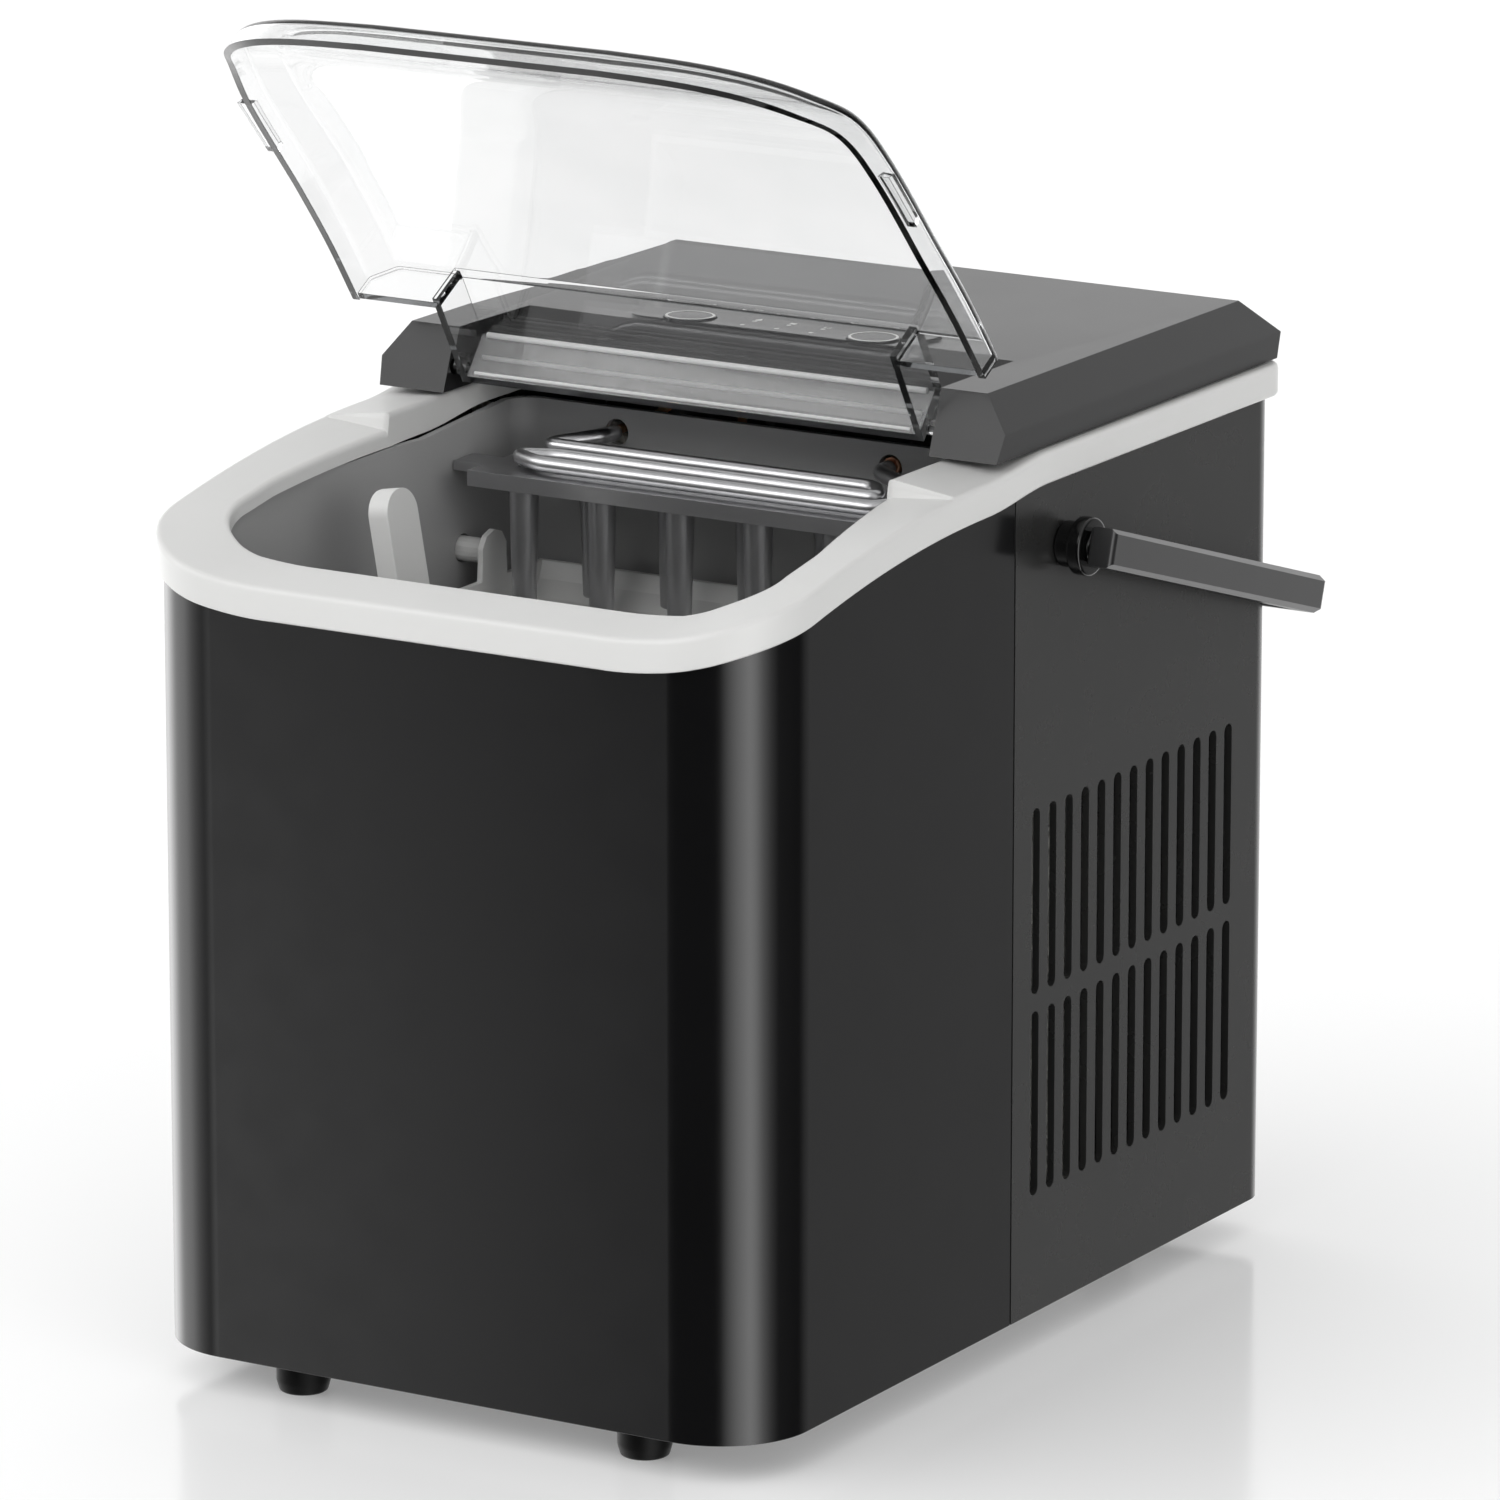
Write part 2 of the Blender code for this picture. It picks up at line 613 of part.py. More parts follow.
# ---------------------------------------------------------------- clear lid
def rim_height(depth):
    """Height of the closed lid's rim, a smooth curve through LID_RIM_CURVE."""
    points = LID_RIM_CURVE
    last = len(points) - 2
    index = max(i for i in range(last + 1) if i == 0 or depth >= points[i][0])
    (y0, z0), (y1, z1) = points[index], points[index + 1]
    before, after = points[max(0, index - 1)], points[min(last + 1, index + 2)]
    slope0 = (z1 - before[1]) / (y1 - before[0])
    slope1 = (after[1] - z0) / (after[0] - y0)
    t = min(1.0, max(0.0, (depth - y0) / (y1 - y0)))
    span = y1 - y0
    rise = z0 * (1 + 2 * t) * (1 - t) ** 2 + z1 * t * t * (3 - 2 * t)
    return rise + span * (slope0 * t * (1 - t) ** 2 - slope1 * t * t * (1 - t))


def lid_outline(inset):
    """Right half of the lid's outline from the nose to the notch: a squarish curve, then a straight side."""
    half, reach = LID_HALF - inset, LID_CURVE_Y - LID_FRONT_Y - inset
    power = 2 / LID_SQUARENESS
    nose_y = LID_CURVE_Y - reach
    points = [(0.0, nose_y), (half * math.cos(LID_NOSE_TURN) ** power, nose_y)]
    steps = 10
    for step in range(1, steps + 1):
        turn = LID_NOSE_TURN * (1 - step / steps) ** 2
        points.append((half * math.cos(turn) ** power, LID_CURVE_Y - reach * math.sin(turn) ** power))
    for step in (1, 2, 3):
        t = step / 3
        side = half + (LID_NOTCH_HALF - LID_HALF) * t
        points.append((side, LID_CURVE_Y + (LID_NOTCH_Y - LID_CURVE_Y) * t))
    return points


def lid_half_rows():
    """Right half of the closed lid: rim, ridge, top edge and middle line."""
    rim, ridge, edge, middle = [], [], [], []
    for (x, y), (edge_x, edge_y) in zip(lid_outline(0.0), lid_outline(LID_CHAMFER_IN)):
        low = rim_height(y)
        plate = rim_height(y) + LID_SKIRT + LID_CHAMFER_RISE
        rim.append((x, y, low))
        ridge.append((x, y, low + LID_SKIRT))
        edge.append((edge_x, edge_y, plate))
        middle.append((0.0, edge_y, plate))
    return rim, ridge, edge, middle


def lid():
    """The clear lid: a curved shell, a wall behind each notch, the tail between the arms, two tabs."""
    shell = bake(grid("lid", lid_half_rows(), "clear", LID_THICK, mirror=True))
    tail = prism("lid_tail", tail_outline(0.0), "X", -LID_TAIL_HALF, LID_TAIL_HALF)
    core_half = LID_TAIL_HALF - LID_THICK
    boolean(tail, prism("lid_tail_core", tail_outline(LID_THICK), "X", -core_half, core_half))
    boolean(shell, tail, "UNION")
    ridge_z = LID_BOTTOM + LID_SKIRT
    plate_z = ridge_z + LID_CHAMFER_RISE
    for side in (-1, 1):
        outer, inner = LID_NOTCH_HALF - 0.0012, LID_TAIL_HALF - 0.0015
        wall = ((inner, LID_BOTTOM + 0.0003), (outer, LID_BOTTOM + 0.0003), (outer, ridge_z - 0.0006),
                (outer - LID_CHAMFER_IN + 0.0006, plate_z - 0.0009), (inner, plate_z - 0.0009))
        wall = [(side * x, z) for x, z in wall]
        boolean(shell, prism(f"lid_notch_wall_{side}", wall, "Y", LID_NOTCH_Y - 0.0026, LID_NOTCH_Y - 0.0003),
                "UNION")
        z = rim_height(0.030)
        tab = ((0.0280, z + 0.0004), (0.0520, z + 0.0060), (0.0505, z + 0.0085), (0.0290, z + 0.0036))
        low_x, high_x = sorted((side * (LID_HALF - 0.0020), side * (LID_HALF + 0.0032)))
        boolean(shell, prism(f"lid_tab_{side}", tab, "X", low_x, high_x), "UNION")
    bake(shell)
    move_origin(shell, (0, HINGE_Y, HINGE_Z))
    shell.rotation_euler = (-LID_OPEN, 0, 0)


def tail_outline(inset):
    """Side view of the lid's tail, between the arms: open in front and below when hollowed."""
    top = LID_BOTTOM + LID_SKIRT + LID_CHAMFER_RISE - 0.0003
    low = LID_BOTTOM + 0.0005
    foot_y = LID_TAIL_Y + 0.0058
    if inset:
        return ((0.10, 0.27), (foot_y - inset, 0.27), (foot_y - inset, low),
                (LID_TAIL_Y - inset, top - inset), (0.10, top - inset))
    return ((LID_NOTCH_Y - 0.004, low), (foot_y, low), (LID_TAIL_Y, top - 0.0014),
            (LID_TAIL_Y - 0.0014, top), (LID_NOTCH_Y - 0.004, top))


def bake(obj):
    """The same piece with its modifiers applied, so that its mesh can be moved onto its joint."""
    bpy.context.view_layer.update()
    source = obj.evaluated_get(bpy.context.evaluated_depsgraph_get())
    mesh = bpy.data.meshes.new_from_object(source)
    obj.modifiers.clear()
    obj.data = mesh
    return obj


def lid_pins():
    for name, side in (("lid_pin_left", -1), ("lid_pin_right", 1)):
        start = LID_TAIL_HALF + 0.0003
        cylinder(name, 0.0024, (min(side * start, side * (start + 0.0085)), HINGE_Y, HINGE_Z), 0.0085, "X",
                 "clear", 16)


# ---------------------------------------------------------------- carry handle
def handle_point(reach, tall, x):
    """A point on the lowered handle: reach along the arm, tall across it."""
    cos_d, sin_d = math.cos(HANDLE_DROOP), math.sin(HANDLE_DROOP)
    return (x, HANDLE_Y + reach * cos_d + tall * sin_d, HANDLE_Z - reach * sin_d + tall * cos_d)


def faceted_section(tall, thick, facet):
    half_t, half_w = tall / 2, thick / 2
    quarter = ((half_w, half_t - facet), (half_w - facet, half_t))
    upper = quarter + tuple((-across, tall) for across, tall in reversed(quarter))
    return upper + tuple((-across, -tall) for across, tall in upper)


def carry_handle():
    """Right half of the bail as a faceted bar, swept back along the arm and across behind the body."""
    section = faceted_section(HANDLE_TALL, HANDLE_THICK, HANDLE_FACET)
    rows = []
    path = [(HANDLE_ROOT_X, HANDLE_ROOT_REACH, 0.0), (HANDLE_END_X, HANDLE_REACH, 45.0), (0.0, HANDLE_REACH, 90.0)]
    for x, reach, turn in path:
        cos_t, sin_t = math.cos(math.radians(turn)), math.sin(math.radians(turn))
        stretch = 1 / math.cos(math.radians(45)) if turn == 45.0 else 1.0
        row = []
        for across, tall in section:
            row.append(handle_point(reach + across * stretch * sin_t, tall, x + across * stretch * cos_t))
        rows.append(row + row[:1])
    bm = bmesh.new()
    made = [[bm.verts.new(point) for point in row[:-1]] for row in rows]
    for row, following in zip(made, made[1:]):
        for index in range(len(row)):
            after = (index + 1) % len(row)
            bm.faces.new((row[index], row[after], following[after], following[index]))
    bm.faces.new(made[0])
    handle = add_object("carry_handle", mesh_from(bm, "carry_handle"), "cover")
    both = handle.modifiers.new("both_sides", "MIRROR")
    both.merge_threshold = 0.00005
    bore = cylinder("handle_bore", 0.0049, (-0.1285, HANDLE_Y, HANDLE_Z), 0.2570, "X", sides=20)
    boolean(handle, bore)
    bake(handle)
    move_origin(handle, (0, HANDLE_Y, HANDLE_Z))


def handle_pivots():
    """Fixed pins with a wide collar against the side of the body."""
    half = BODY_WIDTH / 2
    profile = ((0, 0.0160), (0.0044, 0.0160), (0.0044, 0.0104), (0.0092, 0.0104), (0.0092, 0.0056),
               (0.0073, 0.0056), (0.0073, 0.0004), (0.0045, 0.0004), (0.0045, -0.0060), (0, -0.0060))
    turned("handle_pivot_left", profile, (-half, HANDLE_Y, HANDLE_Z), "-X", "cover", 20)
    turned("handle_pivot_right", profile, (half, HANDLE_Y, HANDLE_Z), "X", "cover", 20)


# ---------------------------------------------------------------- bin, basket and scoop
def tank_liner():
    """The one-piece tub: bin above, water tank below, with the mechanism's bay at the back."""
    corner_steps = 4
    corner_y = TUB_FRONT + TUB_CORNER
    corner_run = (FRONT_CORNER + COLLAR_OVERHANG) * math.pi / 2 + corner_y - FRONT_CORNER
    front_arc = arc((TUB_HALF - TUB_CORNER, corner_y), TUB_CORNER, -90, 0, corner_steps)
    runs = [TUB_CORNER - TUB_HALF] + [corner_run * step / corner_steps for step in range(corner_steps + 1)]
    side = [(TUB_HALF, 0.072), (TUB_SHOULDER_HALF + 0.0005, SHOULDER_Y - 0.002), (TUB_BAY_HALF, 0.128)]
    back_arc = arc((TUB_BAY_HALF - 0.008, TUB_BACK - 0.008), 0.008, 0, 90, 2)
    outline = [(0.0, TUB_FRONT)] + front_arc + side + back_arc + [(0.0, TUB_BACK)]
    runs += [corner_run + y - corner_y for x, y in outline[len(runs):]]
    top = [(x, y, opening_height(run, y) - WALL - 0.0030) for (x, y), run in zip(outline, runs)]
    low = [(x, y, TUB_BOTTOM) for x, y in outline]
    floor = [(0.0, y, TUB_BOTTOM) for x, y in outline]
    tub = grid("tank_liner", (floor, low, top), "grey", TUB_WALL, mirror=True)
    tub.modifiers["wall"].offset = 1.0
    for side_sign in (-1, 1):
        low_x, high_x = sorted((side_sign * (TUB_HALF + 0.001), side_sign * (BASKET_HALF - 0.004)))
        ledge = box(f"basket_ledge_{side_sign}", (low_x, 0.044, 0.0965), (high_x, 0.070, 0.1024))
        boolean(tub, ledge, "UNION")
    holes = [cylinder("tray_bores", 0.0046, (-0.10, TRAY_Y, TRAY_Z), 0.20, "X", sides=16),
             cylinder("tank_drain", 0.0045, (-0.11, 0.070, 0.038), 0.03, "X", sides=14),
             cylinder("suction_passage", 0.0042, (0.050, 0.17, 0.273), 0.03, "Y", sides=12),
             cylinder("liquid_passage", 0.0042, (-0.050, 0.17, 0.273), 0.03, "Y", sides=12)]
    boolean(tub, merge_cutters("tub_holes", holes))


def foam_jacket():
    """Foam round the front and sides of the tub."""
    outer_half, front = BODY_WIDTH / 2 - WALL - 0.0008, WALL + 0.0008
    outer = arc((outer_half - 0.026, front + 0.026), 0.026, 0, -90, 4)
    inner_half, inner_front = TUB_HALF + TUB_WALL + 0.0008, TUB_FRONT - TUB_WALL - 0.0008
    inner = arc((inner_half - 0.0175, inner_front + 0.0175), 0.0175, -90, 0, 4)
    left_outer = [(-x, y) for x, y in reversed(outer)]
    left_inner = [(-x, y) for x, y in reversed(inner)]
    outline = [(outer_half, 0.128)] + outer + left_outer + [(-outer_half, 0.128), (-inner_half, 0.128)]
    outline += left_inner + inner + [(inner_half, 0.128)]
    jacket = prism("foam_jacket", outline, "Z", 0.022, 0.236, "foam")
    boolean(jacket, cylinder("jacket_drain", 0.0085, (-0.125, 0.070, 0.038), 0.05, "X", sides=14))


def drain():
    """The drain spout through the side wall, and the rubber plug that closes it."""
    half = BODY_WIDTH / 2
    start = TUB_HALF + TUB_WALL + 0.0003
    length = half + 0.0022 - start
    spout = ((0.0072, length), (0.0072, 0.0), (0.0046, 0.0), (0.0046, length))
    turned("drain_spout", spout, (-start, 0.070, 0.038), "-X", "rear", 18)
    plug = ((0, 0.0052), (0.0095, 0.0052), (0.0105, 0.0042), (0.0105, 0.0026), (0.0042, 0.0026),
            (0.0040, -0.0100), (0, -0.0100))
    turned("drain_plug", plug, (-half, 0.070, 0.038), "-X", "rubber", 20)


def ice_basket():
    """The slotted lift-out basket."""
    def ring(inset, z):
        outline = rounded_rectangle(BASKET_HALF - inset, BASKET_FRONT + inset, BASKET_BACK - inset, 0.012, 3)
        return [(x, y, z) for x, y in outline] + [(outline[0][0], outline[0][1], z)]
    middle = [(0.0, (BASKET_FRONT + BASKET_BACK) / 2, BASKET_BOTTOM)] * len(ring(0, 0))
    rows = (middle, ring(0.004, BASKET_BOTTOM), ring(0.0, BASKET_TOP))
    basket = grid("ice_basket", rows, "white", BASKET_WALL)
    basket.modifiers["wall"].offset = -1.0
    slots = []
    for number in range(9):
        x = (number - 4) * 0.0155
        slots.append(box(f"wall_slot_{number}", (x - 0.003, 0.02, 0.120), (x + 0.003, 0.13, 0.174)))
    for number in range(9):
        x = (number - 4) * 0.0155
        slots.append(box(f"floor_slot_{number}", (x - 0.003, 0.052, 0.095), (x + 0.003, 0.100, 0.108)))
    boolean(basket, merge_cutters("basket_slots", slots))


def ice_scoop():
    """The scoop: a bowl open in front and a flat handle, standing on its tip in the basket."""
    stations = ((0.0, 0.80, 0.84), (0.05, 0.94, 0.96), (0.16, 1.0, 1.0), (0.36, 0.99, 0.95), (0.56, 0.95, 0.82),
                (0.78, 0.86, 0.58), (1.0, 0.70, 0.28))
    turns = [math.pi * (8 - k) / 8 for k in range(9)]
    rows = []
    for t, width_share, depth_share in stations:
        row = []
        for turn in turns:
            across = math.copysign(abs(math.cos(turn)) ** 0.75, math.cos(turn))
            down = abs(math.sin(turn)) ** 0.75
            side = SCOOP_HALF * width_share * across
            row.append((SCOOP_LENGTH * t, side, -SCOOP_DEPTH * depth_share * down))
        rows.append(row)
    back_middle = [(0.0, 0.0, 0.0)] * len(turns)
    scoop = grid("ice_scoop", [back_middle] + rows, "collar", 0.0020)
    scoop.modifiers["wall"].offset = 0.0
    outline = rounded_rectangle(0.0085, 0.0, SCOOP_HANDLE, 0.0080, 4)
    handle = prism("scoop_handle", outline, "Z", -0.0078, -0.0006)
    handle.data.transform(Matrix.Rotation(math.pi / 2, 4, "Z"))
    boolean(scoop, handle, "UNION")
    bake(scoop)
    bpy.data.objects.remove(handle, do_unlink=True)
    scoop.data.transform(Matrix.Rotation(SCOOP_TILT, 4, "Y"))
    scoop.data.transform(Matrix.Translation(SCOOP_PLACE))


def sensors():
    for name, side in (("ice_sensor_left", -1), ("ice_sensor_right", 1)):
        low_x, high_x = sorted((side * 0.0892, side * 0.0862))
        box(name, (low_x, 0.1035, 0.212), (high_x, 0.1115, 0.222), "shell", 0.0006)
    cylinder("water_sensor", 0.0055, (-0.060, 0.172, TUB_BOTTOM + 0.0003), 0.030, "Z", "white", 16)


# ---------------------------------------------------------------- ice-making mechanism
def drip_grid():
    """The slotted floor of the mechanism's bay, where the ice slides forward and the water drains."""
    half = TUB_BAY_HALF - 0.0005
    grid_plate = box("drip_grid", (-half, 0.1300, 0.1905), (half, 0.1755, 0.1930), "white")
    slots = []
    for number in range(11):
        x = (number - 5) * 0.0145
        slots.append(box(f"grid_slot_{number}", (x - 0.002, 0.134, 0.18), (x + 0.002, 0.170, 0.20)))
    boolean(grid_plate, merge_cutters("grid_slots", slots))


def evaporator():
    """A plate with nine hanging fingers that freeze the hollow cubes."""
    plate = box("evaporator", (-0.072, TRAY_Y - 0.019, 0.2635), (0.072, TRAY_Y + 0.019, 0.2685), "steel")
    ears = box("evaporator_ears", (-0.0854, TRAY_Y - 0.006, 0.2645), (0.0854, TRAY_Y + 0.006, 0.2675))
    boolean(plate, ears, "UNION")
    for row, (y, count) in enumerate(((TRAY_Y - 0.0095, 5), (TRAY_Y + 0.0095, 4))):
        for number in range(count):
            x = (number - (count - 1) / 2) * 0.0285
            finger = cylinder(f"finger_{row}_{number}", 0.0038, (x, y, 0.2255), 0.040, "Z", sides=12,
                              tip_radius=0.0048)
            boolean(plate, finger, "UNION")


def evaporator_coil():
    """The refrigerant tube that runs to and fro on top of the evaporator plate."""
    z = 0.2685 + 0.0033
    points = [(-0.050, 0.1838, 0.273), (-0.050, TRAY_Y + 0.028, 0.273), (-0.062, TRAY_Y + 0.012, z),
              (0.058, TRAY_Y + 0.012, z), (0.066, TRAY_Y, z), (-0.050, TRAY_Y, z), (-0.062, TRAY_Y - 0.006, z),
              (-0.050, TRAY_Y - 0.012, z), (0.072, TRAY_Y - 0.012, z), (0.080, TRAY_Y + 0.004, z + 0.001),
              (0.050, TRAY_Y + 0.028, 0.273), (0.050, 0.1838, 0.273)]
    tube("evaporator_coil", rounded_path(points, 0.004, 2), 0.0026, "steel")


def water_tray():
    """The tipping trough that holds the water round the fingers, on its two axle ends."""
    steps = 12
    turns = [-TRAY_ARC + 2 * TRAY_ARC * step / steps for step in range(steps + 1)]
    outer, hollow = [], []
    for turn in turns:
        across, down = math.sin(turn), math.cos(turn)
        inner = TRAY_RADIUS - TRAY_WALL
        outer.append((TRAY_Y + TRAY_RADIUS * across, TRAY_Z - TRAY_RADIUS * down))
        hollow.append((TRAY_Y + inner * across, TRAY_Z - inner * down))
    rim_z = outer[0][1]
    hub = arc((TRAY_Y, TRAY_Z), 0.0075, -20, 200, 6)
    ears = [point for point in hub if point[1] > rim_z]
    outline = outer + [(TRAY_Y + 0.0075, rim_z)] + ears + [(TRAY_Y - 0.0075, rim_z)]
    tray = prism("water_tray", outline, "X", -TRAY_HALF, TRAY_HALF, "white")
    cavity = [(hollow[0][0], 0.26)] + hollow + [(hollow[-1][0], 0.26)]
    boolean(tray, prism("tray_cavity", cavity, "X", -TRAY_HALF + TRAY_WALL, TRAY_HALF - TRAY_WALL))
    for side in (-1, 1):
        start = min(side * (TRAY_HALF - 0.001), side * 0.0882)
        length = 0.0882 - TRAY_HALF + 0.001
        axle = cylinder(f"tray_axle_{side}", 0.0040, (start, TRAY_Y, TRAY_Z), length, "X", sides=16)
        boolean(tray, axle, "UNION")
    bake(tray)
    move_origin(tray, (0, TRAY_Y, TRAY_Z))


def ice_pusher():
    """The comb that slides forward over the drip grid and pushes the ice into the basket."""
    pusher = box("ice_pusher", (-0.070, 0.150, 0.1938), (0.070, 0.176, 0.1962), "grey")
    wall = box("pusher_wall", (-0.070, 0.1735, 0.1950), (0.070, 0.176, 0.2050))
    boolean(pusher, wall, "UNION")
    gaps = []
    for number in range(9):
        x = (number - 4) * 0.0155
        gaps.append(box(f"pusher_gap_{number}", (x - 0.003, 0.145, 0.19), (x + 0.003, 0.170, 0.20)))
    boolean(pusher, merge_cutters("pusher_gaps", gaps))


def tray_motor():
    """The motor on the right wall of the bay that tips the tray."""
    box("tray_motor", (TUB_BAY_HALF + TUB_WALL + 0.0006, TRAY_Y - 0.017, TRAY_Z - 0.017),
        (0.1068, TRAY_Y + 0.017, TRAY_Z + 0.017), "rear", 0.002)


def pump_and_hose():
    pump = box("water_pump", (0.052, 0.140, TUB_BOTTOM + 0.0003), (0.080, 0.178, 0.058), "shell", 0.002)
    outlet = cylinder("pump_outlet", 0.0045, (0.0735, 0.1725, 0.056), 0.008, "Z", sides=14)
    boolean(pump, outlet, "UNION")
    route = [(0.0735, 0.1725, 0.0644), (0.0735, 0.1725, 0.090), (0.0805, 0.1795, 0.110),
             (0.0805, 0.1795, 0.246), (0.0805, 0.1785, 0.2700), (0.060, 0.1765, 0.2600)]
    tube("fill_hose", rounded_path(route, 0.007, 3), 0.0028, "white")


# ---------------------------------------------------------------- refrigeration bay
def bulkhead():
    plate = box("bulkhead", (-0.1088, 0.1915, 0.0172), (0.1088, 0.1965, 0.2745), "foam")
    holes = [cylinder(f"bulkhead_hole_{side}", 0.0048, (side * 0.050, 0.18, 0.2745), 0.03, "Y", sides=12)
             for side in (-1, 1)]
    boolean(plate, merge_cutters("bulkhead_holes", holes))


def compressor():
    profile = ((0, 0.150), (0.020, 0.149), (0.036, 0.142), (0.042, 0.128), (0.042, 0.098), (0.0435, 0.096),
               (0.0435, 0.092), (0.042, 0.090), (0.042, 0.050), (0.036, 0.036), (0.022, 0.031), (0, 0.030))
    body = turned("compressor", profile, (0.048, 0.262, 0), "Z", "shell", 24)
    feet_plate = box("compressor_plate", (0.002, 0.226, 0.0290), (0.094, 0.298, 0.0335))
    boolean(body, feet_plate, "UNION")
    for number, (x, y) in enumerate(((0.010, 0.233), (0.086, 0.233), (0.010, 0.291), (0.086, 0.291))):
        profile = ((0, 0.0286), (0.006, 0.0286), (0.0075, 0.022), (0.0075, 0.0169), (0, 0.0169))
        turned(f"compressor_mount_{number + 1}", profile, (x, y, 0), "Z", "rubber", 14)


def condenser():
    """A finned block beside the left grille."""
    fins = 14
    low, high = 0.216, 0.308
    pitch = (high - low) / (fins - 0.5)
    outline = [(-0.086, low), (-0.086, high)]
    for number in range(fins):
        y = high - number * pitch
        outline += [(-0.104, y), (-0.104, y - pitch / 2)]
        if number < fins - 1:
            outline += [(-0.089, y - pitch / 2), (-0.089, y - pitch)]
    prism("condenser", outline, "Z", 0.058, 0.168, "steel")


def fan():
    frame = box("fan_shroud", (-0.0850, 0.214, 0.064), (-0.0640, 0.310, 0.160), "rear")
    boolean(frame, cylinder("fan_opening", FAN_RADIUS + 0.002, (-0.09, FAN_Y, FAN_Z), 0.04, "X", sides=28))
    hub = cylinder("fan_blade", 0.013, (-0.0810, FAN_Y, FAN_Z), 0.0150, "X", "rear", 20)
    for number in range(7):
        blade = box(f"blade_{number}", (-0.0008, -0.009, 0.010), (0.0008, 0.009, FAN_RADIUS - 0.001))
        blade.data.transform(Matrix.Translation(blade.location))
        blade.data.transform(Matrix.Rotation(math.radians(35), 4, "Z"))
        blade.data.transform(Matrix.Rotation(math.tau * number / 7, 4, "X"))
        blade.location = (-0.0735, FAN_Y, FAN_Z)
        boolean(hub, blade, "UNION")
    cylinder("fan_motor", 0.020, (-0.0655, FAN_Y, FAN_Z), 0.026, "X", "steel", 24)


def refrigerant_parts():
    drier = ((0, 0.080), (0.003, 0.080), (0.008, 0.072), (0.008, 0.012), (0.003, 0.004), (0, 0.004))
    turned("filter_drier", drier, (-0.028, 0.225, 0.190), "Z", "copper", 16)
    valve = box("hot_gas_valve", (0.006, 0.214, 0.186), (0.030, 0.236, 0.212), "steel", 0.001)
    coil = cylinder("valve_coil", 0.011, (0.018, 0.225, 0.2115), 0.020, "Z", sides=16)
    boolean(valve, coil, "UNION")
    suction = [(0.050, 0.1852, 0.2735), (0.050, 0.206, 0.2735), (0.070, 0.212, 0.2600),
               (0.072, 0.236, 0.200), (0.072, 0.262, 0.178), (0.064, 0.262, 0.1500)]
    tube("suction_pipe", rounded_path(suction, 0.006, 3), 0.0030, "copper")
    discharge = [(0.036, 0.262, 0.1500), (0.036, 0.262, 0.176), (0.000, 0.285, 0.200),
                 (-0.060, 0.300, 0.200), (-0.096, 0.300, 0.196), (-0.096, 0.300, 0.1686)]
    tube("discharge_pipe", rounded_path(discharge, 0.008, 3), 0.0026, "copper")
    liquid = [(-0.050, 0.1852, 0.2735), (-0.050, 0.208, 0.2735), (-0.042, 0.222, 0.284),
              (-0.028, 0.225, 0.284), (-0.028, 0.225, 0.2706)]
    tube("capillary_tube", rounded_path(liquid, 0.004, 3), 0.0016, "copper")


def rear_details():
    """The cable gland, and the four screws that hold the rear shell."""
    gland = ((0.0062, -0.0090), (0.0035, -0.0090), (0.0035, 0.0055), (0.0070, 0.0055), (0.0085, 0.0040),
             (0.0085, 0.0003), (0.0062, 0.0003))
    turned("cable_gland", gland, (-0.070, BODY_DEPTH, 0.040), "Y", "rubber", 18)
    number = 0
    for x in (-0.098, 0.098):
        for z in (0.030, 0.262):
            number += 1
            screw = ((0, 0.0022), (0.0022, 0.0020), (0.0034, 0.0010), (0.0034, 0.0003), (0.0016, 0.0003),
                     (0.0016, -0.0080), (0, -0.0090))
            turned(f"rear_screw_{number}", screw, (x, BODY_DEPTH, z), "Y", "steel", 14)


clear_scene()
PARTS = new_collection("ice_maker")
CUTTERS = new_collection("cutters")
MACHINE = bpy.data.objects.new("machine_frame", None)
PARTS.objects.link(MACHINE)

front_shell()
rear_shell()
base_plate()
feet()
trim_collar()
top_cover()
control_panel()
buttons()
control_board()
lid()
lid_pins()
carry_handle()
handle_pivots()
tank_liner()
foam_jacket()
drain()
ice_basket()
ice_scoop()
sensors()
drip_grid()
evaporator()
evaporator_coil()
water_tray()
ice_pusher()
tray_motor()
pump_and_hose()
bulkhead()
compressor()
condenser()
fan()
refrigerant_parts()
rear_details()

MACHINE.location = (0, FRONT_Y, 0)
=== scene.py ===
"""Looks of the countertop ice maker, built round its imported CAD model.

Metres, +Z up.  Meshes are first made in casing coordinates: x to the right of the middle, y back from the
front face, z up from the table.  settle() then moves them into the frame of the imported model.
"""

import json
from math import ceil, copysign, cos, hypot, pi, radians, sin, tau

import bmesh
import bpy
from mathutils import Matrix, Vector


